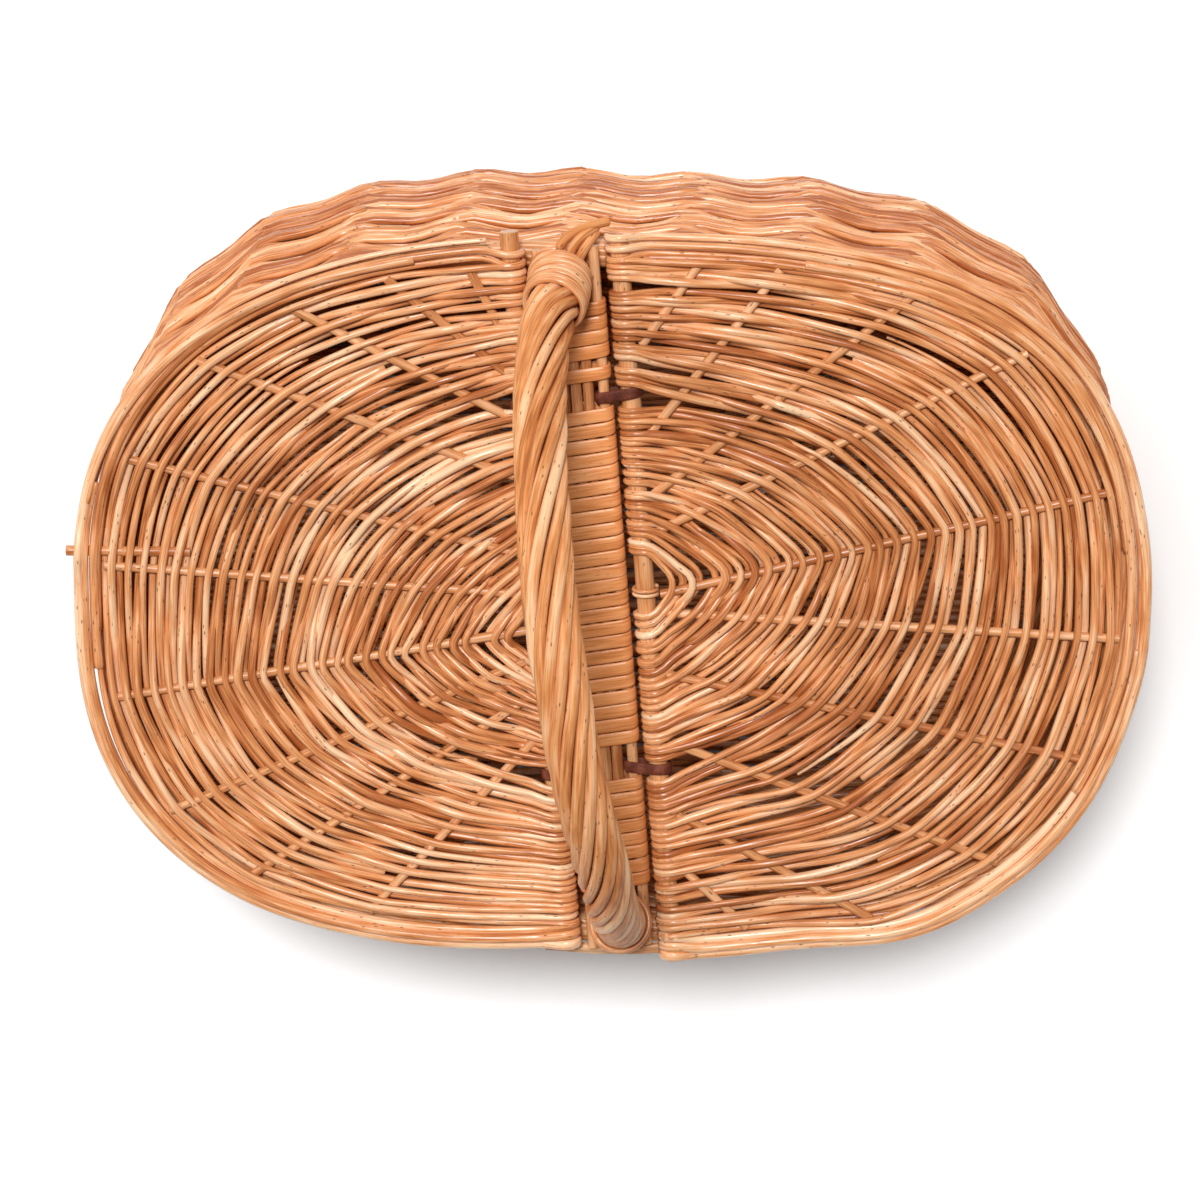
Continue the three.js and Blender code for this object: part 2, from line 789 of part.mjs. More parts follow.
// Slots along the mat where its rods part and the inside shows through. They keep clear of the
// rim and of the spokes.
function matSlots(side, spokeShares) {
  const inset = lidRimWidth + slotMargin;
  const reach = spokeDiameter / 2 + clearance + slotWall;
  const columns = Math.ceil(lidLength / 2 / slotPitch);
  const rows = Math.ceil(lidWidth / 2 / slotPitch);
  const ends = spokeShares.map((shares) => spokeEnds(side, shares));
  const slots = [];
  for (let i = 1; i < columns; i += 1) {
    for (let j = -rows; j <= rows; j += 1) {
      const x = side * (lidEdge + i * slotPitch);
      const y = (j + (i % 2) / 2) * slotPitch;
      const tips = [y - slotLength / 2, y + slotLength / 2].map((v) => new THREE.Vector3(x, v, 0));
      const isInside = tips.every((tip) => {
        const place = fromLid(tip, side);
        const across = Math.abs(place.x / (lidLength / 2 - inset)) ** lidRoundness;
        return across + Math.abs(place.y / (lidWidth / 2 - inset)) ** lidRoundness < 1;
      });
      const isClear = ends.every(([from, to]) => {
        const line = new THREE.Line3(from, to);
        return [...tips, tips[0].clone().lerp(tips[1], 1 / 2)].every((tip) => {
          const near = line.closestPointToPoint(tip, true, new THREE.Vector3());
          return near.distanceTo(tip) > reach + slotWidth / 2;
        });
      });
      if (isInside && isClear) {
        const slot = new THREE.BoxGeometry(slotWidth, slotLength, 2 * lidMatThickness);
        slots.push(slot.translate(x, y, 0));
      }
    }
  }
  return slots;
}

// The woven mat fills the rim. It is notched round the straps, grooved for the spokes and slotted.
function lidMat(side, spokeShares, tools) {
  const outline = lidOutline(side, lidRimWidth + clearance, lidEdge);
  const points = equalShares(outline, lidRimSteps).map(outline);
  const deep = lidEdge + strapThickness + clearance;
  const reach = strapWidth / 2 + 2 * clearance;
  for (const place of [backStrapPlace, frontStrapPlace]) {
    points.push(
      new THREE.Vector3(side * lidEdge, place + reach),
      new THREE.Vector3(side * deep, place + reach),
      new THREE.Vector3(side * deep, place - reach),
      new THREE.Vector3(side * lidEdge, place - reach),
    );
  }
  const plate = new THREE.ExtrudeGeometry(new THREE.Shape(flatPoints(points)), {
    depth: lidMatThickness,
    bevelEnabled: false,
  });
  plate.translate(0, 0, -lidMatThickness / 2);
  const grooves = spokeShares.map((shares) => spoke(side, shares, clearance));
  return cut(plate, [...grooves, ...matSlots(side, spokeShares), ...tools]);
}

// Assembly

function base() {
  const group = new THREE.Group();
  group.add(named('foot_border', footBorder(), willow));
  group.add(named('base_mat', baseMat(), wovenWillow));
  for (const i of longSticks) {
    group.add(named(`base_long_stick_${i + 1}`, longStick(i), willow));
  }
  const bores = longSticks.map((i) => longStick(i, clearance));
  for (const i of crossSticks) {
    group.add(named(`base_cross_stick_${i + 1}`, cut(crossStick(i), bores), willow));
  }
  return group;
}

function wall() {
  const group = new THREE.Group();
  group.add(named('upsett_wale', upsettWale(), wovenWillow));
  group.add(named('wall_weave', wallWeave(), wovenWillow));
  group.add(named('stakes_and_border', stakesAndBorder(), willow));
  return group;
}

function handle() {
  const group = new THREE.Group();
  group.add(named('handle_bow', bowStick(), willow));
  group.add(named('handle_roping', ropedSleeve(), ropedWillow));
  for (const [end, turns] of [['back', backWindingTurns], ['front', frontWindingTurns]]) {
    const name = `handle_winding_${end}`;
    group.add(named(name, handleWinding(name, turns, end === 'back'), ropedWillow));
  }
  return group;
}

function bridgeSticks() {
  const group = new THREE.Group();
  const sticks = [
    [-sideStickPlace, bridgeSideLength], [-innerStickPitch, bridgeInnerLength],
    [0, bridgeInnerLength], [innerStickPitch, bridgeInnerLength],
    [sideStickPlace, bridgeSideLength],
  ];
  sticks.forEach(([place, length], i) => {
    group.add(named(`bridge_stick_${i + 1}`, bridgeStick(place, length), willow));
  });
  const skeins = [
    ['bridge_skein_back', backSkeinPlace, backSkeinTurns],
    ['bridge_skein_middle', middleSkeinPlace, middleSkeinTurns],
    ['bridge_skein_front', frontSkeinPlace, frontSkeinTurns],
  ];
  for (const [name, start, turns] of skeins) {
    group.add(named(name, skeinWinding(name, start, turns), willow));
  }
  for (const [lidName, side] of [['left', -1], ['right', 1]]) {
    group.add(named(`${lidName}_strap_back`, strap(side, backStrapPlace), leather));
    group.add(named(`${lidName}_strap_front`, strap(side, frontStrapPlace), leather));
  }
  return group;
}

function lid(name, side, spokeShares, bores) {
  const group = new THREE.Group();
  group.position.set(side * hingeOffset, 0, lidPlane);
  group.add(named(`${name}_hinge_stick`, hingeStick(side), willow));
  group.add(named(`${name}_rim`, cut(lidRim(side), bores), willow));
  group.add(named(`${name}_mat`, lidMat(side, spokeShares, bores), wovenWillow));
  spokeShares.forEach((shares, i) => {
    group.add(named(`${name}_spoke_${i + 1}`, spoke(side, shares), willow));
  });
  return group;
}

const leftLid = lid('left_lid', -1, leftSpokeShares, [lidTab(clearance)]);
leftLid.add(named('left_lid_tab', lidTab(), willow));
const rightLid = lid('right_lid', 1, rightSpokeShares, []);
bridge.add(handle(), bridgeSticks(), leftLid, rightLid);

const basket = new THREE.Group();
basket.add(base(), wall(), bridge);

export default basket;
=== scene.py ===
# %% [markdown]
# # A willow picnic basket
#
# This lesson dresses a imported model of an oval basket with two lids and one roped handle. The
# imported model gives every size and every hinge. Blender gives what the eye knows willow by: single
# rods that pass over and under each other, taper, end in slanting cuts and shine softly.
#
# Lengths are worked out in millimetres and become metres when a mesh is made.

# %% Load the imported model
import math

import bpy
import numpy as np
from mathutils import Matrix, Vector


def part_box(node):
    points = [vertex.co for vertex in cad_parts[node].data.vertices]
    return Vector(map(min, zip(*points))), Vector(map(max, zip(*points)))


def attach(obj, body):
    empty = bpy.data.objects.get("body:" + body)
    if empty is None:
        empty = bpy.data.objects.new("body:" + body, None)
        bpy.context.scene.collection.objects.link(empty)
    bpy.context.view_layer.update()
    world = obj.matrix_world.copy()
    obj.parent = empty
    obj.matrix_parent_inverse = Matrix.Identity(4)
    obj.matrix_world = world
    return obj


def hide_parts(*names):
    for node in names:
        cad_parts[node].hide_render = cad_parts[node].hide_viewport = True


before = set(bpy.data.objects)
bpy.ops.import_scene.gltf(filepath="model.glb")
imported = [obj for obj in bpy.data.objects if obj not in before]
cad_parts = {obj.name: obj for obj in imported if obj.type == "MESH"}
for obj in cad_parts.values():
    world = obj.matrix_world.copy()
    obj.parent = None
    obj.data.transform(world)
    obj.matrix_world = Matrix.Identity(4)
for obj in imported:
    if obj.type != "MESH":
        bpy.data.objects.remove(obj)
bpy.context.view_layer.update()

# %% [markdown]
# ## The camera
#
# The photograph looks down steeply from behind the basket, so its far side is at the foot of the
# picture. A long lens at 1.8 m keeps the ovals nearly true. A small shift puts the basket in the
# same place in the frame.

# %% The camera
LID_PLANE = 180.8
CAMERA_DISTANCE = 1800.0
CAMERA_TILT = math.radians(16.3)
SENSOR_WIDTH = 36
PHOTO_WIDTH = 1200
LENS_PIXELS = 4283
SHIFT_PIXELS = (-13, 6)

camera_data = bpy.data.cameras.new("photo_camera")
camera_data.sensor_width = SENSOR_WIDTH
camera_data.lens = SENSOR_WIDTH * (LENS_PIXELS / PHOTO_WIDTH)
camera_data.shift_x, camera_data.shift_y = (pixels / PHOTO_WIDTH for pixels in SHIFT_PIXELS)
camera = bpy.data.objects.new("photo_camera", camera_data)
camera.location = (
    0,
    CAMERA_DISTANCE * math.sin(CAMERA_TILT) / 1000,
    (LID_PLANE + CAMERA_DISTANCE * math.cos(CAMERA_TILT)) / 1000,
)
camera.rotation_euler = (-CAMERA_TILT, 0, 0)
bpy.context.scene.collection.objects.link(camera)
bpy.context.scene.camera = camera
print("camera lens:", round(camera_data.lens, 1), "mm")

# %% [markdown]
# ## Colours and nodes
#
# Colours are written as they look on a screen and turned to the linear values that the shaders
# work with. One small function adds a node with its settings and its links, and the others name
# the few groups of nodes that come back.

# %% Colours and nodes
def colour(text):
    """The linear colour of an sRGB hex value."""
    parts = [int(text[i:i + 2], 16) / 255 for i in (1, 3, 5)]
    linear = [p / 12.92 if p <= 0.04045 else ((p + 0.055) / 1.055) ** 2.4 for p in parts]
    return (*linear, 1.0)


def add_node(material, kind, settings=(), links=()):
    """Adds a node. A setting is a property or a socket, and a link joins a socket to a source."""
    tree = material.node_tree
    node = tree.nodes.new(kind)
    for key, value in dict(settings).items():
        if isinstance(key, str) and key.islower():
            setattr(node, key, value)
        else:
            node.inputs[key].default_value = value
    for key, source in dict(links).items():
        tree.links.new(source, node.inputs[key])
    return node


def new_material(name):
    """An empty material."""
    material = bpy.data.materials.new(name)
    material.use_nodes = True
    material.node_tree.nodes.clear()
    return material


def show(material, shader):
    """Joins a shader to the material's output and gives the material back."""
    add_node(material, "ShaderNodeOutputMaterial", links={"Surface": shader.outputs[0]})
    return material


def reckon(material, operation, *values):
    """The result of a math node over sockets and decimal numbers."""
    numbers = {i: value for i, value in enumerate(values) if isinstance(value, float)}
    sockets = {i: value for i, value in enumerate(values) if i not in numbers}
    settings = {"operation": operation, **numbers}
    return add_node(material, "ShaderNodeMath", settings, sockets).outputs[0]


def ranged(material, source, start, end, low=0.0, high=1.0):
    """A socket's values between start and end, spread between low and high."""
    spread = {"From Min": start, "From Max": end, "To Min": low, "To Max": high}
    return add_node(material, "ShaderNodeMapRange", spread, {"Value": source}).outputs["Result"]


def colour_ramp(material, source, stops):
    """A ramp node from (place, hex colour) stops."""
    ramp = add_node(material, "ShaderNodeValToRGB", links={"Fac": source})
    elements = ramp.color_ramp.elements
    while len(elements) < len(stops):
        elements.new(0.5)
    for element, (place, text) in zip(elements, stops):
        element.position = place
        element.color = colour(text)
    return ramp.outputs["Color"]


def mix_colours(material, factor, under, over):
    """A hex colour laid over a colour socket by a factor socket."""
    settings = {"data_type": "RGBA", 7: colour(over)}
    return add_node(material, "ShaderNodeMix", settings, {0: factor, 6: under}).outputs[2]


def show_with_relief(material, settings, links, height, strength, depth):
    """Shows a Principled shader whose fine relief comes from a height socket."""
    bump = add_node(material, "ShaderNodeBump", {"Strength": strength, "Distance": depth},
                    {"Height": height})
    return show(material, add_node(material, "ShaderNodeBsdfPrincipled", settings,
                                   {**links, "Normal": bump.outputs["Normal"]}))


# %% [markdown]
# ## Floor and light
#
# A white table fills the picture. It looks white to the camera only, and still takes the soft
# shadow. One big soft light stands high behind the basket, a little to the left. A weaker one on
# the left draws a bright line along each rod, one behind lifts the wall, and a plain white sky
# fills the rest. The added white fades out in an oval under the basket and its contact shadow.

# %% Floor and light
FLOOR_SIZE = 60.0
FLOOR_GLOW = 0.3
SHADE_OVAL = (0.225, 0.16)
SHADE_CENTRE = (0.0, -0.05)
SHADE_FADE = (1.04, 1.3)
SKY_STRENGTH = 0.15

bpy.ops.object.select_all(action="DESELECT")
bpy.ops.mesh.primitive_plane_add(size=FLOOR_SIZE, location=(0, 0, 0))
floor = bpy.context.object
floor.name = "white_table"
table_white = new_material("matt_white_table")
diffuse = add_node(table_white, "ShaderNodeBsdfDiffuse", {"Color": colour("#F0F0F0")})
glow = add_node(table_white, "ShaderNodeEmission", {"Color": (1, 1, 1, 1), "Strength": FLOOR_GLOW})
nothing = add_node(table_white, "ShaderNodeEmission", {"Strength": 0.0})
rays = add_node(table_white, "ShaderNodeLightPath")
seen = reckon(table_white, "MAXIMUM", rays.outputs["Is Camera Ray"], rays.outputs["Is Glossy Ray"])
table_place = add_node(table_white, "ShaderNodeTexCoord").outputs["Object"]
oval = add_node(table_white, "ShaderNodeMapping", {
    "Location": (-SHADE_CENTRE[0] / SHADE_OVAL[0], -SHADE_CENTRE[1] / SHADE_OVAL[1], 0),
    "Scale": (1 / SHADE_OVAL[0], 1 / SHADE_OVAL[1], 0),
}, {"Vector": table_place})
ring = add_node(table_white, "ShaderNodeVectorMath", {"operation": "LENGTH"},
                {0: oval.outputs["Vector"]})
outside = ranged(table_white, ring.outputs["Value"], *SHADE_FADE)
lit = reckon(table_white, "MULTIPLY", seen, outside)
shown = add_node(table_white, "ShaderNodeMixShader",
                 links={0: lit, 1: nothing.outputs[0], 2: glow.outputs[0]})
both = add_node(table_white, "ShaderNodeAddShader",
                links={0: diffuse.outputs[0], 1: shown.outputs[0]})
floor.data.materials.append(show(table_white, both))

sky = bpy.data.worlds.new("white_sky")
sky.use_nodes = True
sky_white = sky.node_tree.nodes["Background"]
sky_white.inputs["Color"].default_value = (1, 1, 1, 1)
sky_white.inputs["Strength"].default_value = SKY_STRENGTH
bpy.context.scene.world = sky

SOFT_BOXES = {
    "high_soft_box": (2.55, 12, (-26, -5)),
    "left_soft_box": (0.7, 18, (-12, -45)),
    "back_soft_box": (0.3, 35, (-60, 0)),
}
for name, (energy, angle, turn) in SOFT_BOXES.items():
    light = bpy.data.lights.new(name, "SUN")
    light.energy = energy
    light.angle = math.radians(angle)
    lamp = bpy.data.objects.new(name, light)
    lamp.rotation_euler = (math.radians(turn[0]), math.radians(turn[1]), 0)
    bpy.context.scene.collection.objects.link(lamp)
bpy.context.scene.view_settings.view_transform = "Standard"
print("lamps:", len(SOFT_BOXES))

# %% [markdown]
# ## Willow
#
# Buff willow is a rod that was boiled in its bark and then peeled, which stains it a warm brown.
# It has a satin skin with long fine streaks, small dark specks where buds sat, and pale wood where
# it is cut. Every rod takes its own shade. The pattern runs along each rod, so each vertex keeps
# its place on the rod as it was before it was bent, in millimetres, in an attribute.

# %% Willow
SHADE_STOPS = (0.37, 0.5, 0.64)
STREAK_SHARE = 0.4
PATCH_SHARE = 0.34
BUD_MARK = "#5E2C12"
CUT_WOOD = "#CFA074"


def willow(name, shades, roughness, streak_width=0.55, speck=1.0, gloss=0.5):
    """Buff willow from dark, middle and pale hex shades."""
    material = new_material(name)
    straight, tone, cut = (add_node(material, "ShaderNodeAttribute", {"attribute_name": key})
                           for key in ("straight", "tone", "cut"))

    def stretched(kind, across, along, settings=()):
        """A texture whose features are so many millimetres across and along the rod."""
        scale = (1 / across, 1 / across, 1 / along)
        place = add_node(material, "ShaderNodeMapping", {"Scale": scale},
                         {"Vector": straight.outputs["Vector"]})
        return add_node(material, kind, {"Scale": 1.0, **dict(settings)},
                        {"Vector": place.outputs["Vector"]})

    streaks = stretched("ShaderNodeTexNoise", streak_width, 16.0, {"Detail": 3.0}).outputs["Fac"]
    patches = stretched("ShaderNodeTexNoise", 5.0, 26.0, {"Detail": 2.0}).outputs["Fac"]
    blend = reckon(material, "MULTIPLY_ADD", streaks, STREAK_SHARE, tone.outputs["Fac"])
    shade = reckon(material, "MULTIPLY_ADD", patches, PATCH_SHARE, blend)
    body = colour_ramp(material, shade, list(zip(SHADE_STOPS, shades)))

    dots = stretched("ShaderNodeTexVoronoi", 1.5, 5.5).outputs["Distance"]
    near = ranged(material, dots, 0.10, 0.2, 1.0, 0.0)
    some = ranged(material, patches, 0.46, 0.55, 0.0, 0.85 * speck)
    specks = reckon(material, "MULTIPLY", near, some)
    marked = mix_colours(material, specks, body, BUD_MARK)
    wood = mix_colours(material, cut.outputs["Fac"], marked, CUT_WOOD)
    rough = ranged(material, streaks, 0.0, 1.0, roughness - 0.07, roughness + 0.1)
    return show_with_relief(material, {"IOR": 1.47, "Specular IOR Level": gloss},
                            {"Base Color": wood, "Roughness": rough},
                            reckon(material, "SUBTRACT", streaks, specks), 0.6, 0.00018)


rod_willow = willow("buff_willow_rod", ("#AE5F2E", "#E69B61", "#FDD4AA"), 0.27, 0.55, 1.0, 0.6)
stick_willow = willow("buff_willow_stick", ("#AE6434", "#DA9760", "#F1BE90"), 0.31, 0.8)
skein_willow = willow("split_willow_skein", ("#CC7C40", "#F09E60", "#F8BC88"), 0.3, 0.7, 0.4)
handle_willow = willow("boiled_willow_rod", ("#AE6434", "#DE9459", "#F6C698"), 0.46, 0.9, 1.0, 0.12)
print("willow materials:", 4)

# %% [markdown]
# ## Rods
#
# A bent rod is a circle swept along a path. Hundreds of rods follow paths that come from the weave,
# so they are swept in code: the ring of points at each step is turned with the path and never
# twisted. Each rod carries its straight place, its shade and its cut ends.

# %% Rods
dice = np.random.default_rng(7)
MIDDLE_TONE = 0.13
TEXTURE_SHIFT = 4000
CUT_EASE = (0.8, 0.2)
CUT_BULGE = 0.12


def smooth_step(x, low=0.0, high=1.0):
    """Goes smoothly from 0 at low to 1 at high."""
    share = np.clip((np.asarray(x, float) - low) / (high - low), 0, 1)
    return share * share * (3 - 2 * share)


def summed(lengths):
    """How far along a line each point is, from the lengths between its points."""
    return np.concatenate([[0], np.cumsum(lengths)])


def spaced(path, step):
    """The same path with points at even steps, in millimetres, and how far along each one is."""
    path = np.asarray(path, float)
    run = summed(np.linalg.norm(np.diff(path, axis=0), axis=1))
    count = max(int(round(run[-1] / step)), 2)
    at = np.linspace(0, run[-1], count + 1)
    return np.stack([np.interp(at, run, path[:, i]) for i in range(3)], 1), at


def path_frames(path, up):
    """Unit tangents, normals and side vectors. A single up is carried along without a twist."""
    tangents = np.gradient(path, axis=0)
    tangents /= np.linalg.norm(tangents, axis=1)[:, None]
    up = np.asarray(up, float)
    if up.ndim == 2:
        normals = up - tangents * (up * tangents).sum(1)[:, None]
        normals /= np.linalg.norm(normals, axis=1)[:, None]
        return tangents, normals, np.cross(tangents, normals)
    normals = np.empty_like(path)
    last = up
    for i, tangent in enumerate(tangents):
        last = last - tangent * last.dot(tangent)
        last = last / np.linalg.norm(last)
        normals[i] = last
    return tangents, normals, np.cross(tangents, normals)


def rod(path, radius, sides=8, up=(0, 0, 1), thick=None, square=1.0):
    """One swept rod. thick is its radius along up where it is flattened, and a square below 1
    squares its section."""
    path = np.asarray(path, float)
    wide = np.broadcast_to(np.asarray(radius, float), len(path))
    high = wide if thick is None else np.broadcast_to(np.asarray(thick, float), len(path))
    tangents, normals, side_ways = path_frames(path, up)
    run = summed(np.linalg.norm(np.diff(path, axis=0), axis=1))
    turn = 2 * np.pi * np.arange(sides) / sides
    cosine, sine = (np.sign(w) * np.abs(w) ** square for w in (np.cos(turn), np.sin(turn)))
    tall, broad = high[:, None] * cosine, wide[:, None] * sine
    rings = (path[:, None] + normals[:, None] * tall[..., None]
             + side_ways[:, None] * broad[..., None])
    straight = np.stack(np.broadcast_arrays(tall, broad, run[:, None]), -1)
    eased, middle = CUT_EASE
    start, end = tangents[0] * wide[0] * CUT_BULGE, tangents[-1] * wide[-1] * CUT_BULGE
    points = np.concatenate([rings[0] * eased + path[0] * middle - start, rings.reshape(-1, 3),
                             rings[-1] * eased + path[-1] * middle + end,
                             [path[0] - start, path[-1] + end]])
    straight = np.concatenate([straight[0] * eased, straight.reshape(-1, 3),
                               straight[-1] * eased, [[0, 0, 0], [0, 0, run[-1]]]])
    straight[:, 2] += dice.uniform(0, TEXTURE_SHIFT)
    ring = np.arange(sides)
    around = (ring + 1) % sides
    levels = np.arange(len(path) + 1)[:, None] * sides
    near, turned = (levels + ring).ravel(), (levels + around).ravel()
    quads = np.stack([near, turned, turned + sides, near + sides], 1)
    top = (len(path) + 1) * sides
    hub = np.full(sides, top + sides)
    fans = np.concatenate([np.stack([around, ring, hub], 1),
                           np.stack([top + ring, top + around, hub + 1], 1)])
    cut = np.zeros(len(points))
    cut[:sides] = cut[top:] = 1
    tone = np.full(len(points), MIDDLE_TONE + dice.normal(0, 0.05))
    return {"points": points, "straight": straight, "quads": quads, "fans": fans,
            "cut": cut, "tone": tone}


def write_attribute(mesh, name, values):
    """Keeps a number or a vector for each vertex."""
    kind, key = ("FLOAT_VECTOR", "vector") if values.ndim == 2 else ("FLOAT", "value")
    mesh.attributes.new(name, kind, "POINT").data.foreach_set(key, values.ravel())


def make_piece(name, rods, material, body, slot, *nodes):
    """Joins swept rods into one mesh object that stands for CAD nodes."""
    faces = []
    offset = 0
    for part in rods:
        faces += (part["quads"] + offset).tolist() + (part["fans"] + offset).tolist()
        offset += len(part["points"])
    mesh = bpy.data.meshes.new(name)
    points = np.concatenate([part["points"] for part in rods])
    mesh.from_pydata((points / 1000).tolist(), [], faces)
    for key in ("straight", "tone", "cut"):
        write_attribute(mesh, key, np.concatenate([part[key] for part in rods]))
    mesh.polygons.foreach_set("use_smooth", np.ones(len(faces), bool))
    mesh.update()
    piece = bpy.data.objects.new(name, mesh)
    bpy.context.scene.collection.objects.link(piece)
    finish_piece(piece, material, body, slot, *nodes)


def finish_piece(piece, material, body, slot, *nodes):
    """Gives a piece its material, its body and the nodes it stands for. The slot is not used."""
    piece.data.materials.clear()
    piece.data.materials.append(material)
    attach(piece, body)
    if nodes:
        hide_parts(*nodes)
    triangles = sum(len(face.vertices) - 2 for face in piece.data.polygons)
    print(f"{piece.name}: {triangles} triangles")


# %% [markdown]
# ## The lines that the basket is built on
#
# The body follows one oval that swells between foot and rim, with 26 stakes at even steps. The
# bridge is turned a little and shifted to the left, and each lid hangs beside it. These are the
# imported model's lines, but as in the photograph the belly is a little narrower, turned, and
# fuller at its back right shoulder.

# %% The lines that the basket is built on
STAKES = 26
ANGLES_PER_STAKE = 8
BODY_ROUNDNESS = 2.8
FOOT = (404.0, 278.0, 8.0)
BELLY = (430.0, 313.0, 72.0)
RIM = (427.0, 297.0, 165.0)
BRIDGE_TURN = math.radians(4.3)
BRIDGE_SHIFT = -8.3
HINGE_PLACE = 22.4


def oval_point(length, width, roundness, angle, out=0.0):
    """A point of an oval with squared shoulders, moved out along its normal."""
    c, s = np.cos(angle), np.sin(angle)
    power = 2 / roundness
    x = length / 2 * np.sign(c) * np.abs(c) ** power
    y = width / 2 * np.sign(s) * np.abs(s) ** power
    across = np.sign(c) * np.abs(c) ** (2 - power) / length
    along = np.sign(s) * np.abs(s) ** (2 - power) / width
    size = np.hypot(across, along)
    return x + out * across / size, y + out * along / size


def to_bridge(x, y):
    """World X and Y to the bridge's own across and along."""
    c, s = math.cos(BRIDGE_TURN), math.sin(BRIDGE_TURN)
    return (x - BRIDGE_SHIFT) * c + y * s, y * c - (x - BRIDGE_SHIFT) * s


def from_bridge(u, v, z):
    """A path in the bridge's frame as world points."""
    c, s = math.cos(BRIDGE_TURN), math.sin(BRIDGE_TURN)
    u, v, z = np.broadcast_arrays(*(np.asarray(a, float) for a in (u, v, z)))
    return np.stack([BRIDGE_SHIFT + u * c - v * s, u * s + v * c, z], -1)


def bridge_way(u, z):
    """A direction across the bridge and upwards as a world vector."""
    return from_bridge(u, 0, z) - from_bridge(0, 0, 0)


def body_size(z):
    """The stake line's length and width at a height."""
    z = np.asarray(z, float)
    low = z < BELLY[2]
    end = np.where(low, FOOT[2], RIM[2])
    share = np.minimum((z - BELLY[2]) / (end - BELLY[2]), 1) ** 2
    return [BELLY[i] + (np.where(low, FOOT[i], RIM[i]) - BELLY[i]) * share for i in (0, 1)]


def stake_angle_table():
    """Oval angles at even steps along the rim from the handle's back foot, all the way round."""
    angles = np.linspace(0.2, 0.2 + 2 * np.pi, 14401)
    x, y = oval_point(RIM[0], RIM[1], BODY_ROUNDNESS, angles)
    across = to_bridge(x, y)[0]
    crossings = np.where(np.diff(np.sign(across)))[0]
    back = crossings[y[crossings] > 0][0]
    front = crossings[y[crossings] < 0][0]
    run = summed(np.hypot(np.diff(x), np.diff(y)))
    count = STAKES // 2 * ANGLES_PER_STAKE + 1
    first = np.interp(np.linspace(run[back], run[front], count), run, angles)
    rest = run[-1] - run[front] + run[back]
    at = (run[front] + np.linspace(0, rest, count)) % run[-1]
    second = np.unwrap(np.interp(at, run, angles))
    second += 2 * np.pi * np.round((first[-1] - second[0]) / (2 * np.pi))
    return np.concatenate([first, second[1:]])


STAKE_ANGLES = stake_angle_table()


def stake_angle(place):
    """The oval angle at a place counted in stakes, which may go round more than once."""
    place = np.asarray(place, float)
    rounds = np.floor(place / STAKES)
    table = np.arange(len(STAKE_ANGLES)) / ANGLES_PER_STAKE
    return np.interp(place - rounds * STAKES, table, STAKE_ANGLES) + 2 * np.pi * rounds


BELLY_TURN = math.radians(-2.6)
BELLY_STARTS = (18, 65)
BELLY_ENDS = (105, 165)
SHOULDER = (22.6, 1.7, 7.0)


def body_path(place, z, out=0.0):
    """Points of the body at places counted in stakes, at heights, moved out of the stake line.
    The belly is turned a little and swells most at the back right shoulder."""
    place, z, out = np.broadcast_arrays(*(np.asarray(a, float) for a in (place, z, out)))
    length, width = body_size(z)
    belly = smooth_step(z, *BELLY_STARTS) * (1 - smooth_step(z, *BELLY_ENDS))
    middle, reach, swell = SHOULDER
    out = out + swell * belly * np.exp(-((place % STAKES - middle) / reach) ** 2)
    x, y = oval_point(length, width, BODY_ROUNDNESS, stake_angle(place), out)
    c, s = np.cos(BELLY_TURN * belly), np.sin(BELLY_TURN * belly)
    return np.stack([x * c - y * s, x * s + y * c, z], -1)


print("first stake:", body_path(0, 165).round(1), "thirteenth:", body_path(13, 165).round(1))

# %% [markdown]
# ## The wall
#
# Three rods are woven at a time and climb round the stakes together: each goes in front of two
# stakes and behind the next one, and the three are one stake apart. So the outside is closed, and
# each stroke comes out from behind a stake and dives under the next stroke. In front of the stakes
# a rod is drawn in again between one stake and the next, which gives the wall its waves. A rod
# lasts one and a half rounds, from its thick butt to its tip, and both ends are tucked behind a
# stake.

# %% The wall
WALL_BOTTOM = 24.4
WALL_TOP = 163.0
WALL_STRANDS = 3
WALL_ROWS = 66
WALL_ROD = (1.82, 2.0)
WALL_PAINTED_SHADE = 0.05
END_ROW_PITCH = 0.14
WEAVE_REACH = 4.1
STROKE_CLIMB = 0.75
DRAWN_IN = 1.5
UNEVEN_RISE = 0.3
UNEVEN_SWELL = 0.35
STEPS_PER_STAKE = 6


def waled(place):
    """In front of two stakes and behind the third, from 1 to -1."""
    return np.clip(0.35 + 1.35 * np.cos(2 * np.pi * (place - 0.5) / 3), -1, 1)


def wall_rod(strand, first, last, radius):
    """One rod of a strand of the wall, between two places counted in stakes."""
    place = np.linspace(first, last, int((last - first) * STEPS_PER_STAKE) + 1)
    row = WALL_STRANDS * place / STAKES + strand
    kept = np.clip(row, 0, WALL_ROWS - 1)
    squeezed = kept + END_ROW_PITCH * (row - kept)
    level = WALL_BOTTOM + (WALL_TOP - WALL_BOTTOM) * squeezed / (WALL_ROWS - 1)
    knots = np.arange(math.floor(first), math.ceil(last) + 1)
    rise = np.interp(place, knots, dice.normal(0, UNEVEN_RISE, len(knots)))
    swell = np.interp(place, knots, dice.normal(0, UNEVEN_SWELL, len(knots)))
    climb = -STROKE_CLIMB * np.sin(2 * np.pi * (place - strand - 0.5) / 3)
    wave = waled(place - strand)
    taper = 1.07 - 0.2 * (place - first) / (last - first)
    drawn_in = DRAWN_IN * (np.cos(2 * np.pi * place) - 0.4) * np.clip(wave, 0, 1)
    path = body_path(place, level + rise + climb,
                     WEAVE_REACH * wave + drawn_in + swell * (wave > 0))
    return rod(path, radius * taper, 6)


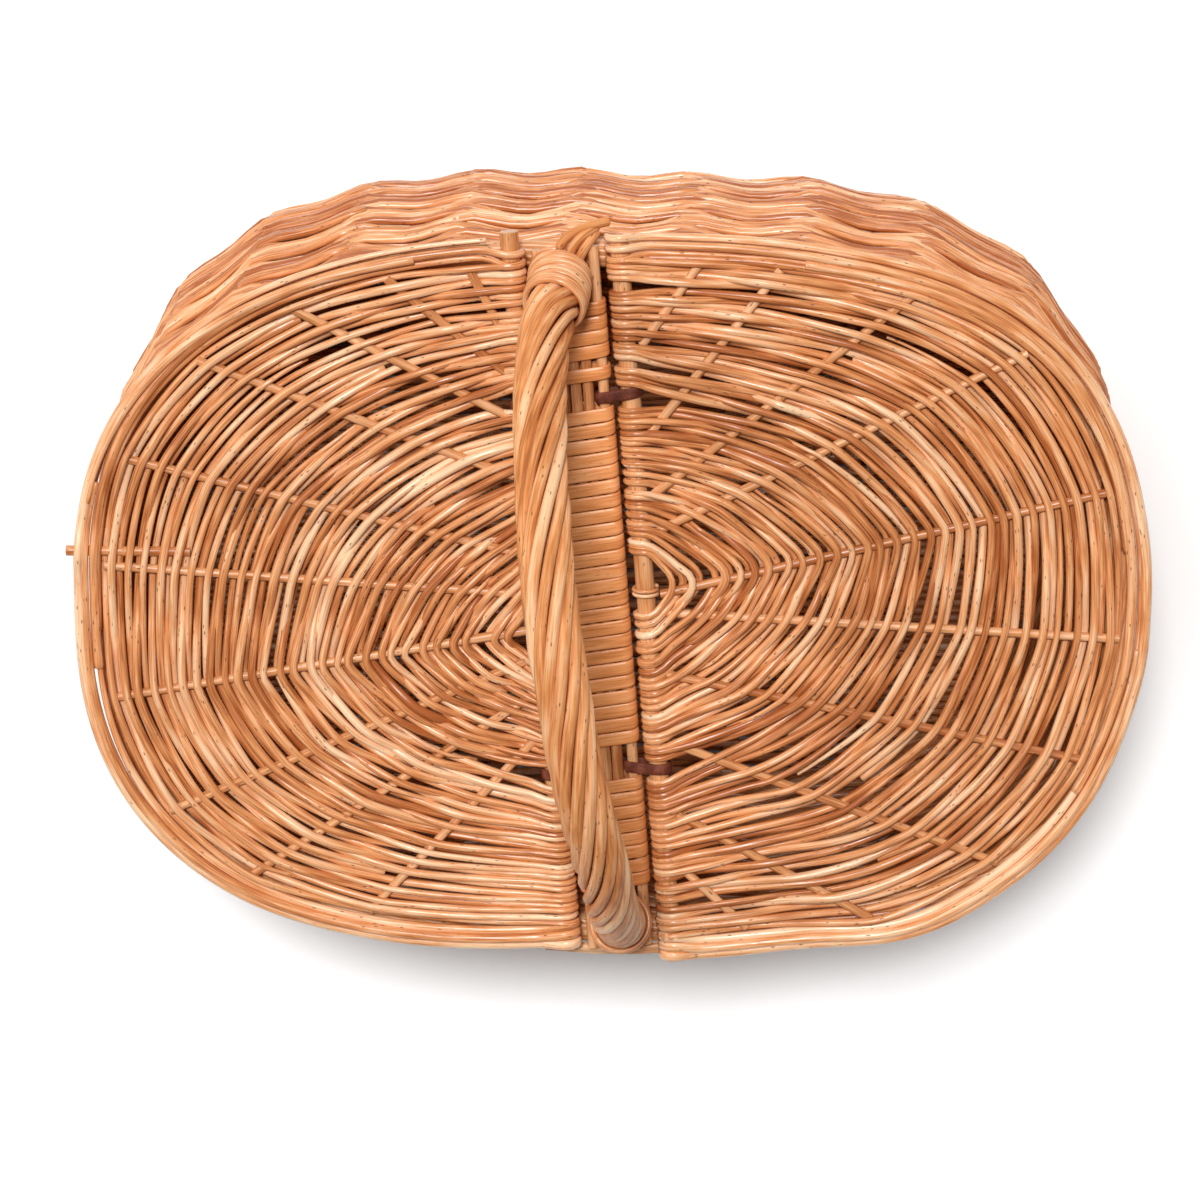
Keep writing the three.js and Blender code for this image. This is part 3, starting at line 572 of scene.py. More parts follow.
wall_rods = []
for strand in range(WALL_STRANDS):
    place = strand + 2 - STAKES
    while WALL_STRANDS * place / STAKES + strand < WALL_ROWS + 2:
        last = place + 3 * int(dice.integers(12, 16))
        wall_rods.append(wall_rod(strand, place, last + 0.3, dice.uniform(*WALL_ROD)))
        place = last
# Painted shade: every wall rod is made darker in tone than the lids' rods, so that the wall looks
# less lit than the lamps make it.
for part in wall_rods:
    part["tone"] -= WALL_PAINTED_SHADE
make_piece("woven_wall", wall_rods, rod_willow, "basket", "woven_willow", "wall_weave")

# %% [markdown]
# ## Stakes and border
#
# A stake is a heavier rod that stands in the foot and is turned down at the rim. There each stake
# lies over the next ones, goes from the inside over the top to the outside, and ends under its
# neighbours. That is what makes the border look like a rope. It lies a little lower at the handle's
# feet, where the lids' hinge sticks turn over it. At the front three rod ends lie on it between
# the lids.

# %% Stakes and border
BORDER_LEVEL = 170.4
FOOT_LEVEL = 4.05
BORDER_ROLL = (200, -70)
HINGE_DIP = (2.3, 0.85)
STAKE_ENDS = (9, 168)
STAKE_RADIUS = 3.0
FRONT_ENDS = ((12.4, 6.2, 173.2), (12.52, 8.6, 170.2), (12.3, 9.2, 166.4))


def border_dip(place):
    """How far the border lies lower at the handle's feet, where the hinge sticks turn over it."""
    half = STAKES / 2
    away = np.abs((place + half / 2) % half - half / 2)
    return HINGE_DIP[0] * np.exp(-(away / HINGE_DIP[1]) ** 4)


def border_rod(place, span, level, reach, radius):
    """A rod that lies along the border or the foot and rolls over it to the outside."""
    share = np.linspace(0, 1, 26)
    angle = np.radians(BORDER_ROLL[0] + (BORDER_ROLL[1] - BORDER_ROLL[0]) * share)
    at = place + span * share
    z = level + reach[1] * np.sin(angle) - (border_dip(at) if level == BORDER_LEVEL else 0)
    path = body_path(at, z, reach[0] * np.cos(angle))
    return rod(path, radius * (1 - 0.45 * smooth_step(share, 0.55, 1)), 8)


stake_rods = []
for place in range(STAKES):
    if place % (STAKES // 2):
        standing = body_path(place, np.linspace(*STAKE_ENDS, 22))
        stake_rods.append(rod(standing, STAKE_RADIUS - 0.2 * dice.random(), 8, (1, 0, 0)))
    for late in (0.0, 0.5):
        stake_rods.append(border_rod(place + late, 3.6, BORDER_LEVEL, (4.0, 2.9), 2.35))
for place, out, level in FRONT_ENDS:
    share = np.linspace(0, 1, 18)
    lying = body_path(place + 1.25 * share, level - 2.5 * share ** 3,
                      out + 1.4 * np.sin(np.pi * share))
    stake_rods.append(rod(lying, 2.15 * (1 - 0.35 * share), 8))
make_piece("stakes_and_rolled_border", stake_rods, stick_willow, "basket", "willow",
           "stakes_and_border")

# %% [markdown]
# ## Foot and wale
#
# The foot is a smaller rolled border. Above it three heavy rods are twisted round each other and
# the stakes, each in front of two stakes and behind one, which spreads the stakes evenly.

# %% Foot and wale
WALE_ROUNDS = 3
WALE_STEPS_PER_STAKE = 5
WALE_BOTTOM = 10.9
WALE_CLIMB = 8.8
WALE_REACH = 5.2

foot_rods = [border_rod(place / 2, 3.2, FOOT_LEVEL, (2.9, 1.9), 1.95)
             for place in range(2 * STAKES)]
make_piece("rolled_foot", foot_rods, stick_willow, "basket", "willow", "foot_border")

wale_rods = []
for strand in range(3):
    place = strand + np.arange(0, 3.02 * STAKES, 1 / WALE_STEPS_PER_STAKE)
    climb = (place - strand) / (WALE_ROUNDS * STAKES)
    out = waled(place - strand) * WALE_REACH + 0.5
    level = WALE_BOTTOM + WALE_CLIMB * climb + strand * 0.9
    wale_rods.append(rod(body_path(place, level, out), 2.25, 8))
make_piece("upsett_of_heavy_rods", wale_rods, rod_willow, "basket", "woven_willow", "upsett_wale")

# %% [markdown]
# ## The base
#
# The base has three long sticks through five slit cross sticks. Rods run along it, over one cross
# stick and under the next.

# %% The base
CROSS_PITCH = 55.0
LONG_PITCH = 30.0
ROD_PITCH = 3.53
STICK_CLEARANCE = 3.7
BASE_LEVEL = 6.4
BASE_EDGE = 132
BASE_INSET = 6.5
BASE_ROD = (1.78, 1.94)
BASE_LIFT = 3.6
LIFT_FADES = (120, 150)


def base_rod(y, phase):
    """A rod along the base, over and under the cross sticks."""
    angles = np.linspace(-np.pi, np.pi, 2881)
    ox, oy = oval_point(*body_size(FOOT[2]), BODY_ROUNDNESS, angles, -BASE_INSET)
    near = np.abs(oy - y) < 1.0
    end = np.abs(ox[near]).max()
    x = np.linspace(-end, end, max(int(end / 3.2), 8))
    lift = BASE_LIFT * np.cos(np.pi * (x / CROSS_PITCH + phase))
    lift = lift * (1 - smooth_step(np.abs(x), *LIFT_FADES))
    path = np.stack([x, np.full_like(x, y), BASE_LEVEL + lift], 1)
    return rod(path, dice.uniform(*BASE_ROD), 6)


base_rods = []
for i in range(-37, 38):
    y = i * ROD_PITCH
    clear = min(abs(y - LONG_PITCH * k) for k in (-1, 0, 1))
    if clear > STICK_CLEARANCE and abs(y) < BASE_EDGE:
        base_rods.append(base_rod(y, i % 2))
make_piece("woven_base", base_rods, rod_willow, "basket", "woven_willow", "base_mat")

# %% [markdown]
# ## Sticks
#
# The straight sticks are modelled as a basket maker cuts them: a round stick, its ends sawn and
# eased with a knife, a little thicker at one end, with a swelling where a side shoot was taken
# off. Each one is a cylinder whose ends are inset in edit mode, where it is also divided into
# short rings. The rings are then swollen and tapered, and the stick is laid in its place.

# %% Sticks
EASED_RIM = 0.12
EASED_DEPTH = 0.06
RING_SPACING = 9
KNOT_SPACING = 90
KNOT_LENGTH = 3.0
KNOT_SWELL = 0.07
STICK_TAPER = 0.05
SHARP_ANGLE = math.radians(40)


def mesh_points(mesh):
    """Where a mesh's vertices are, in metres."""
    points = np.empty(len(mesh.vertices) * 3)
    mesh.vertices.foreach_get("co", points)
    return points.reshape(-1, 3)


def lay_between(piece, start, end):
    """Turns and moves a mesh whose length is along Z so that it runs between two points."""
    along = (end - start) / np.linalg.norm(end - start)
    side = np.cross(along, (0, 0, 1) if abs(along[2]) < 0.9 else (1, 0, 0))
    side /= np.linalg.norm(side)
    turn = np.stack([side, np.cross(along, side), along], 1)
    points = mesh_points(piece.data) @ turn.T + (start + end) / 2000
    piece.data.vertices.foreach_set("co", points.ravel())
    piece.data.update()


def write_rod_attributes(mesh, half_length, radius):
    """Keeps each vertex's place on the straight stick, its shade and the sawn ends."""
    points = mesh_points(mesh) * 1000
    ends = (np.abs(points[:, 2]) > half_length - 0.05) & (
        np.hypot(points[:, 0], points[:, 1]) < radius * 0.93)
    place = points.copy()
    place[:, 2] += dice.uniform(0, TEXTURE_SHIFT)
    write_attribute(mesh, "straight", place)
    write_attribute(mesh, "tone", np.full(len(points), MIDDLE_TONE + dice.normal(0, 0.035)))
    write_attribute(mesh, "cut", ends.astype(float))


def select_where(piece, test):
    """Selects the faces that pass a test, in edit mode."""
    bpy.ops.object.mode_set(mode="OBJECT")
    for face in piece.data.polygons:
        face.select = bool(test(face))
    bpy.ops.object.mode_set(mode="EDIT")


def cut_stick(name, start, end, diameter, material, body, slot, *nodes, sides=16):
    """A straight stick with sawn ends and a swelling or two."""
    start, end = np.asarray(start, float), np.asarray(end, float)
    length = float(np.linalg.norm(end - start))
    radius = diameter / 2
    bpy.ops.object.select_all(action="DESELECT")
    bpy.ops.mesh.primitive_cylinder_add(
        vertices=sides, radius=radius / 1000, depth=length / 1000, location=(0, 0, 0))
    piece = bpy.context.object
    piece.name = name
    bpy.ops.object.mode_set(mode="EDIT")
    bpy.ops.mesh.select_mode(type="FACE")
    select_where(piece, lambda face: abs(face.normal.z) > 0.9)
    bpy.ops.mesh.inset(thickness=radius * EASED_RIM / 1000, depth=radius * EASED_DEPTH / 1000)
    cuts = np.linspace(-length / 2, length / 2, max(int(length / RING_SPACING), 3) + 2)[1:-1]
    for height in cuts:
        bpy.ops.mesh.select_all(action="SELECT")
        bpy.ops.mesh.bisect(plane_co=(0, 0, height / 1000), plane_no=(0, 0, 1))
    bpy.ops.object.mode_set(mode="OBJECT")
    write_rod_attributes(piece.data, length / 2, radius)
    knots = dice.uniform(-0.45, 0.45, max(int(length / KNOT_SPACING), 1)) * length
    facing = dice.uniform(0, 2 * np.pi, len(knots))
    for vertex in piece.data.vertices:
        x, y, z = (value * 1000 for value in vertex.co)
        swell = 0.0
        for knot, way in zip(knots, facing):
            near = math.exp(-((z - knot) / KNOT_LENGTH) ** 2)
            swell += KNOT_SWELL * near * (1 + math.cos(math.atan2(y, x) - way))
        taper = 1 - STICK_TAPER * (z / length + 0.5)
        vertex.co.x *= (1 + swell) * taper
        vertex.co.y *= (1 + swell) * taper
    lay_between(piece, start, end)
    bpy.ops.object.shade_smooth_by_angle(angle=SHARP_ANGLE)
    finish_piece(piece, material, body, slot, *nodes)


BRIDGE_PLANE = 178.65
BRIDGE_STICK = 4.7
INNER_PITCH = 5.05
SIDE_PLACE = 11.55
BRIDGE_STICKS = ((-SIDE_PLACE, 306), (-INNER_PITCH, 276), (0, 276), (INNER_PITCH, 276),
                 (SIDE_PLACE, 306))
for number, (across, length) in enumerate(BRIDGE_STICKS, 1):
    ends = from_bridge([across, across], [-length / 2, length / 2], BRIDGE_PLANE)
    cut_stick(f"bridge_rod_{number}", *ends, BRIDGE_STICK, stick_willow, "basket", "willow",
              f"bridge_stick_{number}")

# %% [markdown]
# ## The bound bridge
#
# A skein is a rod split in three and shaved flat. It is bound round the five sticks in close
# turns, each of which lies flat on top, bends sharply over the outer stick and climbs a little.
# A flat ribbon with a crowned face is swept along that course.

# %% The bound bridge
SKEIN_PITCH = 6.12
SKEIN_WIDTH = 5.75
SKEIN_THICK = 1.3
SKEIN_KNOT = 19
SKEINS = {"back": [(102.5, 4), (93.2, 1)], "middle": [(-65.3, 24)], "front": [(-129.0, 8)]}


def skein_course(start, turns):
    """The course of a skein round the bridge, and the way that its face looks all along it. It
    starts and ends on the underside."""
    reach = BRIDGE_STICK / 2 + 0.72
    bend = np.radians(np.linspace(90, -90, 9))
    flat = np.linspace(SIDE_PLACE, -SIDE_PLACE, 11)[1:-1]
    outer = np.stack([SIDE_PLACE + reach * np.cos(bend), reach * np.sin(bend),
                      np.cos(bend), np.sin(bend)], 1)
    below = np.stack([flat, np.full(9, -reach), np.zeros(9), np.full(9, -1.0)], 1)
    stops = np.roll(np.concatenate([outer, below, -outer, -below]), -13, axis=0)
    steps = np.arange(int(turns * len(stops)) + 1)
    u, h, face_u, face_h = stops[steps % len(stops)].T
    knots = np.arange(0, len(steps) + SKEIN_KNOT, SKEIN_KNOT)
    uneven = np.interp(steps, knots, dice.normal(0, 0.12, len(knots)))
    v = start + SKEIN_WIDTH / 2 + SKEIN_PITCH * steps / len(stops) + uneven
    return from_bridge(u, v, BRIDGE_PLANE + h), bridge_way(face_u, face_h)


for name, parts in SKEINS.items():
    strips = []
    for start, turns in parts:
        course, facing = skein_course(start, turns)
        strips.append(rod(course, SKEIN_WIDTH / 2, 14, facing, SKEIN_THICK / 2, 0.62))
    make_piece(f"bridge_binding_{name}", strips, skein_willow, "basket", "willow",
               f"bridge_skein_{name}")

# %% [markdown]
# ## The lids' hinge sticks and spokes
#
# Each lid hangs on one heavy stick whose sawn ends stand past the rim. Spokes fan out from it to
# the rim, and the weaving goes over and under them.

# %% The lids' hinge sticks and spokes
LID = (450.0, 320.0)
LID_ROUNDNESS = 2.57
LID_STEPS = 400
RIM_WIDTH = 11.0
HINGE_STICK = 8.2
HINGE_ENDS = {"left": (2.5, 0.7), "right": (2.5, -2.5)}
STICK_CLEAR = 8.5
SPOKE = 4.0
SPOKE_LEVEL = 0.9
HINGE_SHARES = {
    "left": [(0.875, 0.975), (0.82, 0.91), (0.76, 0.83), (0.68, 0.745), (0.575, 0.645),
             (0.52, 0.555), (0.47, 0.445), (0.43, 0.34), (0.38, 0.255), (0.32, 0.155)],
    "right": [(0.85, 0.95), (0.73, 0.89), (0.65, 0.79), (0.6, 0.695), (0.515, 0.57),
              (0.49, 0.455), (0.405, 0.355), (0.31, 0.25), (0.21, 0.145), (0.135, 0.05)],
}
SIDES = {"left": -1, "right": 1}
LID_FIT = {
    -1: ((0, -7.2), (0.06, -4.6), (0.12, -2.6), (0.18, -0.9), (0.25, 1.1), (0.45, 1.7), (0.6, 1.2),
         (0.7, 0), (1, 0)),
    1: ((0, -0.6), (0.04, -1.4), (0.09, -2.0), (0.127, 0.9), (0.15, 4.2), (0.19, 5.2), (0.215, 3.4),
        (0.26, 1.3), (0.31, -0.6), (0.36, -1.8), (0.4, -1.2), (0.44, 1.2), (0.5, 1.5), (0.56, -0.2),
        (0.62, 0.4), (0.66, 1.8), (0.72, 2.6), (0.78, 1.8), (0.84, 0.3), (1, 0)),
}


def lid_outline(side, inset, edge=0.0, fit=True):
    """The lid's curved edge in the bridge's frame, from the front end to the back end. With fit
    it is moved in and out a little, because no lid is made quite even."""
    share = np.linspace(0, 1, 6001)
    angle = np.pi / 2 - side * np.pi * (1 - share)
    u, v = to_bridge(*oval_point(LID[0], LID[1], LID_ROUNDNESS, angle, -inset))
    inside = side * u > HINGE_PLACE + edge
    u, v = u[inside], v[inside]
    run = summed(np.hypot(np.diff(u), np.diff(v)))
    at = np.linspace(0, run[-1], LID_STEPS + 1)
    line = np.stack([np.interp(at, run, u), np.interp(at, run, v)], 1)
    if not fit:
        return line
    way = np.gradient(line, axis=0)
    way /= np.linalg.norm(way, axis=1)[:, None]
    moved = np.interp(at / run[-1], *zip(*LID_FIT[side]))
    moved = np.convolve(np.pad(moved, 8, "edge"), np.full(17, 1 / 17), "valid")
    return line + side * np.stack([way[:, 1], -way[:, 0]], 1) * moved[:, None]


def spoke_line(lid, shares):
    """Both ends of a spoke in the bridge's frame."""
    side = SIDES[lid]
    hinge = lid_outline(side, 0.0, fit=False)
    v = hinge[0, 1] + (hinge[-1, 1] - hinge[0, 1]) * shares[0]
    rim = lid_outline(side, RIM_WIDTH + 2.1, 4.4)
    tip = rim[int(round(shares[1] * LID_STEPS))]
    return np.array([[side * (HINGE_PLACE + 6.2), v], tip])


spoke_lines = {lid: [spoke_line(lid, s) for s in HINGE_SHARES[lid]] for lid in SIDES}
for lid, side in SIDES.items():
    hinge = lid_outline(side, 0.0)
    front, back = HINGE_ENDS[lid]
    ends = from_bridge([side * HINGE_PLACE] * 2, [hinge[0, 1] + front, hinge[-1, 1] + back],
                       LID_PLANE)
    cut_stick(f"{lid}_hinge_rod", *ends, HINGE_STICK, stick_willow, f"{lid}_lid", "willow",
              f"{lid}_lid_hinge_stick", sides=24)
    for number, line in enumerate(spoke_lines[lid], 1):
        ends = from_bridge(line[:, 0], line[:, 1], LID_PLANE + SPOKE_LEVEL)
        cut_stick(f"{lid}_spoke_rod_{number}", *ends, SPOKE, stick_willow, f"{lid}_lid", "willow",
                  f"{lid}_lid_spoke_{number}", sides=10)

# %% [markdown]
# ## The woven lids
#
# Each weaver loops round the hinge stick, swings out in a half oval, and loops round the stick
# again at the other end. Seen from above the rods make nested arcs: the outer ones follow the rim
# and the inner ones close up into arrow heads. A rod goes over one spoke and under the next, and
# the next rod does the opposite. The lid is longer than the hinge stick's half, so every fifth rod
# only packs the wide part and never reaches the stick. No two rods are equally thick or straight.

# %% The woven lids
ROWS = 62
LOOPED_ROWS = 50
PACKING_STEP = 5
STEPS = np.arange(LID_STEPS + 1)
ARC_CENTRE = {"left": -11.0, "right": 10.0}
ARROW_TIP = {"left": 178, "right": 226}
BARE_ROWS = {"left": 0, "right": 4}
STRAP_BACK = 90.5
STRAP_FRONT = -72.5
BARE_PLACES = {"left": ((STRAP_BACK, 4.3), (STRAP_FRONT, 4.3)),
               "right": ((STRAP_BACK, 5.0), (STRAP_FRONT, 4.3), (137.5, 2.2), (104.5, 1.3))}
WIDE_STARTS = (25, 110)
WIDE_ENDS = (290, 375)
UNEVEN_COURSE = 0.95
UNEVEN_LIFT = 0.35
UNEVEN_SAG = 0.45
LIFT_LIMITS = (-0.6, 0.45)
WEAVE_LIFT = 2.35
WEAVE_LEVEL = 1.05
END_HEIGHT = 3.4
LOOP_RADIUS = 5.35
LOOP_SLACK = 0.05
LOOP_THICK = 1.28
LONG_LOOP = (62, 292)
SHORT_LOOP = (62, 200)
SHORT_LOOPS_FROM = 139
PATH_STEP = 3.4


def off_bare_places(lid, v):
    """Moves a loop along the hinge stick away from a strap or a bare place."""
    for middle, reach in BARE_PLACES[lid]:
        way = 1 if v >= middle else -1
        v = v + way * reach * math.exp(-abs(v - middle) / (reach * 4.2))
    return v


def arc_course(lid, share, wobble):
    """One weaver's course on the lid, as across and along, from the front to the back end."""
    side = SIDES[lid]
    tip = ARROW_TIP[lid]
    centre = np.array([side * HINGE_PLACE, ARC_CENTRE[lid]])
    reach = lid_outline(side, RIM_WIDTH + 1.7) - centre
    steps = STEPS[:, None]
    arrow = np.where(steps < tip,
                     reach[0] + (reach[tip] - reach[0]) * steps / tip,
                     reach[-1] + (reach[tip] - reach[-1]) * (LID_STEPS - steps) / (LID_STEPS - tip))
    share = share[:, None]
    point = 0.9 * (1 - share) ** 1.15
    shape = reach * (1 - point) + arrow * point
    return centre + shape * (share + wobble[:, None] / 170)


def pulled_straight(course, places, share):
    """Pulls a course straight between its crossings, as a rod lies from spoke to spoke."""
    chords = [np.interp(STEPS, places, np.interp(places, STEPS, line)) for line in course.T]
    return course + (np.stack(chords, 1) - course) * (0.62 - 0.3 * share)


def crossings(course, lines):
    """Where a course crosses each spoke, as (step along the course, spoke number)."""
    found = []
    for number, (start, end) in enumerate(lines):
        way = end - start
        normal = np.array([-way[1], way[0]]) / np.linalg.norm(way)
        off = (course - start) @ normal
        along = (course - start) @ way / (way @ way)
        passing = (np.diff(np.sign(off)) != 0) & (along[:-1] > -0.03) & (along[:-1] < 1.02)
        hits = np.where(passing)[0]
        for hit in hits[:1]:
            found.append((hit + off[hit] / (off[hit] - off[hit + 1]), number))
    return sorted(found)


def softened(path):
    """A path whose corners are eased once."""
    ends = np.pad(path, ((1, 1), (0, 0)), "edge")
    return (path * 2 + ends[2:] + ends[:-2]) / 4


def on_lid(side, path):
    """A path that is measured from the hinge stick as world points."""
    return from_bridge(side * (path[:, 0] + HINGE_PLACE), path[:, 1], LID_PLANE + path[:, 2])


def lid_weaver(lid, row, radius):
    """One weaver, with a loop at both ends unless it only packs the wide part."""
    side = SIDES[lid]
    packs = row % PACKING_STEP == PACKING_STEP - 1
    looped = row - row // PACKING_STEP - 0.5 * packs
    wide_part = smooth_step(STEPS, *WIDE_STARTS) * (1 - smooth_step(STEPS, *WIDE_ENDS))
    share = ((looped + 0.9) / LOOPED_ROWS * (1 - wide_part) + (row + 0.9) / ROWS * wide_part)
    slow = np.interp(np.linspace(0, 9, len(STEPS)), np.arange(10),
                     dice.normal(0, UNEVEN_COURSE, 10))
    course = arc_course(lid, share, slow * (1 - 0.65 * share ** 5))
    found = crossings(course, spoke_lines[lid])
    ups = [1 if (number + row) % 2 else -1 for _, number in found]
    lifts = np.clip(dice.normal(0, UNEVEN_LIFT, len(found)), *LIFT_LIMITS)
    places = [0, *(place for place, _ in found), LID_STEPS]
    heights = [WEAVE_LEVEL + up * WEAVE_LIFT + lift for up, lift in zip(ups, lifts)]
    heights = [END_HEIGHT, *heights, END_HEIGHT]
    course = pulled_straight(course, places, (row + 0.9) / ROWS)
    height = np.empty(len(STEPS))
    sags = dice.normal(0, UNEVEN_SAG, len(places))
    for (a, b), (low, high), sag in zip(zip(places, places[1:]), zip(heights, heights[1:]), sags):
        part = (STEPS >= a) & (STEPS <= b)
        climb = smooth_step(STEPS[part], a, max(b, a + 1))
        height[part] = low + (high - low) * climb + sag * 4 * climb * (1 - climb)
    clear = side * course[:, 0] - HINGE_PLACE
    if packs:
        first, last = dice.uniform(45, 95), dice.uniform(305, 355)
        inside = smooth_step(STEPS, first, first + 22) * (1 - smooth_step(STEPS, last - 22, last))
        keep = (STEPS >= first) & (STEPS <= last) & (clear > 12)
        if row < ROWS / 6 or keep.sum() < 30:
            return None
        path = np.stack([clear, course[:, 1], height * inside - 1.6 * (1 - inside)], 1)[keep]
        path, run = spaced(path, PATH_STEP)
        run = run if row % 2 else run[-1] - run
        wide = radius * (0.5 + 0.5 * smooth_step(run, 0, 60)) * (0.92 + 0.1 * run / run.max())
        return rod(on_lid(side, path), wide, 7)
    ends = [off_bare_places(lid, course[i, 1]) + dice.normal(0, 0.25) for i in (0, -1)]
    for end, i, near in ((ends[0], 0, STEPS < 200), (ends[1], -1, STEPS >= 200)):
        course[near, 1] += (end - course[i, 1]) * np.exp(-clear[near] / 22)
    keep = clear > STICK_CLEAR
    if keep.sum() < 3:
        return None
    path = np.stack([clear[keep], course[keep, 1], height[keep]], 1)
    if looped >= BARE_ROWS[lid]:
        loops = []
        for end in ends:
            turn = SHORT_LOOP if abs(end) > SHORT_LOOPS_FROM else LONG_LOOP
            angle = np.radians(np.linspace(*turn, 12))
            reach = LOOP_RADIUS + LOOP_SLACK + dice.normal(0, 0.12)
            lean = dice.normal(0, 0.35) * np.linspace(0, 1, 12)
            loops.append(np.stack([reach * np.cos(angle), end + lean, reach * np.sin(angle)], 1))
        path = np.concatenate([loops[0][::-1], path, loops[1]])
    path, run = spaced(path, PATH_STEP)
    path = softened(path)
    at_stick = np.exp(-np.maximum(path[:, 0] - 3, 0) / 9)
    pitch = [abs(end - ARC_CENTRE[lid]) / (looped + 0.9) for end in ends]
    loop_wide = np.minimum(np.where(run < run[-1] / 2, *pitch) * 0.5, 1.8)
    taper = 1.08 - 0.2 * (run / run[-1] if row % 2 else 1 - run / run[-1])
    wide = radius * taper * (1 - at_stick) + loop_wide * at_stick
    thick = radius * taper * (1 - at_stick) + LOOP_THICK * at_stick
    start = path[0, [0, 2]] / np.linalg.norm(path[0, [0, 2]])
    return rod(on_lid(side, path), wide, 7, bridge_way(side * start[0], start[1]), thick)


def thin_ring(lid, v, radius):
    """One thin rod closed round the hinge stick."""
    angle = np.linspace(0, 2 * np.pi, 25)
    reach = HINGE_STICK / 2 + radius
    path = np.stack([reach * np.cos(angle), v + 0.03 * np.degrees(angle) / 9,
                     reach * np.sin(angle)], 1)
    return rod(on_lid(SIDES[lid], path), radius, 6, (1, 0, 0))


for lid in SIDES:
    weavers = []
    run = dice.uniform(0, 1)
    for row in range(ROWS):
        run = (run + 0.37) % 1
        made = lid_weaver(lid, row, 2.08 - 0.56 * run + dice.normal(0, 0.06))
        if made:
            weavers.append(made)
    if lid == "right":
        weavers += [thin_ring(lid, v, 0.85) for v in (3.6, 5.6)]
    make_piece(f"{lid}_lid_weaving", weavers, rod_willow, f"{lid}_lid", "woven_willow",
               f"{lid}_lid_mat")

# %% [markdown]
# ## The lids' rims
#
# The rim is a bundle of long rods that lie beside each other and loop round the ends of the hinge
# stick. The outermost ones run all the way round. Each of the others starts at a cut end, moves
# outwards and runs out in a thin tip, while the next one has already begun.

# %% The lids' rims
RIM_LOOP = 5.4
RIM_LOOP_THICK = 1.4


def rim_course(side, inset, low, high, begin, end):
    """A rim rod's course: its inset and height change along its run."""
    inner = lid_outline(side, inset[0])
    outer = lid_outline(side, inset[1])
    steps = np.linspace(0, 1, LID_STEPS + 1)
    keep = (steps >= begin) & (steps <= end)
    share = smooth_step(steps[keep], begin, end)[:, None]
    course = inner[keep] * (1 - share) + outer[keep] * share
    height = low + (high - low) * share
    return np.concatenate([course, height], 1)


def rim_rod(side, inset, heights, begin, end, radius, loop_front, loop_back):
    """One rod of the rim. A looped end goes over the hinge stick and down its far side."""
    low, high = min(begin, end), max(begin, end)
    course = rim_course(side, inset, heights[0], heights[1], low, high)
    local = np.stack([side * course[:, 0] - HINGE_PLACE, course[:, 1], course[:, 2]], 1)
    if side < 0:
        over_tab = np.exp(-((local[:, 1] - TAB_PLACE) / 7) ** 2) * (local[:, 0] > 100)
        over = TAB_LEVEL + 4.3 * over_tab + local[:, 2] * 0.4 * over_tab - 20 * (over_tab < 0.02)
        local[:, 2] = np.maximum(local[:, 2], over)
    rods_path = [local[local[:, 0] > STICK_CLEAR]]
    angle = np.radians(np.linspace(*SHORT_LOOP, 9))
    for is_front, wanted in ((True, loop_front), (False, loop_back)):
        if wanted is None:
            continue
        loop = np.stack([RIM_LOOP * np.cos(angle), np.full(9, wanted), RIM_LOOP * np.sin(angle)], 1)
        rods_path = [loop[::-1]] + rods_path if is_front else rods_path + [loop]
    path, run = spaced(np.concatenate(rods_path), 4)
    path = softened(path)
    if begin > end:
        path = path[::-1]
    at_stick = np.exp(-np.maximum(path[:, 0] - 3, 0) / 12)
    share = run / run[-1]
    taper = 1 - (0.25 if loop_back is not None else 0.55) * smooth_step(share, 0.6, 1)
    thick = radius * taper * (1 - at_stick) + RIM_LOOP_THICK * at_stick
    return rod(on_lid(side, path), radius * taper, 10, (0, 0, 1), thick)


tab_low, tab_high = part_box("left_lid_tab")
tab_y = (tab_low.y + tab_high.y) * 500
TAB_PLACE = to_bridge(tab_low.x * 1000 + 10, tab_y)[1]
TAB_LEVEL = -1.0
TAB_RISE = 1.6
TAB_STICK = 4.4
RIM_RODS = {
    "left": [((2.3, 2.3), (-0.4, -0.4), 0, 1, 2.3, -149.0, None),
             ((4.4, 3.0), (-2.4, -2.2), 0.02, 0.98, 2.1, None, None),
             ((5.6, 5.2), (2.0, 1.7), 0, 0.62, 2.2, -144.6, None),
             ((8.9, 5.5), (0.3, 1.9), 0.47, 1, 2.2, None, 153.0),
             ((8.9, 9.2), (0.2, 0.0), 0, 0.55, 2.0, -140.4, None),
             ((9.6, 9.2), (-0.6, -0.3), 0.5, 1, 1.95, None, 148.4),
             ((3.6, 6.6), (2.4, 2.4), 0.93, 0.6, 1.9, None, None)],
    "right": [((2.3, 2.3), (-0.4, -0.4), 0, 1, 2.3, -157.6, 156.6),
              ((4.4, 3.0), (-2.4, -2.2), 0.02, 0.98, 2.1, None, None),
              ((5.6, 5.2), (2.0, 1.7), 0, 0.45, 2.2, -153.2, None),
              ((8.9, 5.5), (0.3, 1.9), 0.33, 1, 2.2, None, 152.0),
              ((8.9, 9.2), (0.2, 0.0), 0, 0.6, 2.0, -148.9, None),
              ((9.6, 9.6), (0.9, 1.9), 0.87, 0.5, 2.0, None, None),
              ((11.0, 11.0), (1.6, 0.4), 0.99, 0.62, 1.8, None, None),
              ((9.6, 9.2), (-0.6, -0.3), 0.52, 1, 1.95, None, 147.4)],
}
for lid, side in SIDES.items():
    rim = [rim_rod(side, *facts) for facts in RIM_RODS[lid]]
    make_piece(f"{lid}_lid_border", rim, rod_willow, f"{lid}_lid", "willow", f"{lid}_lid_rim")

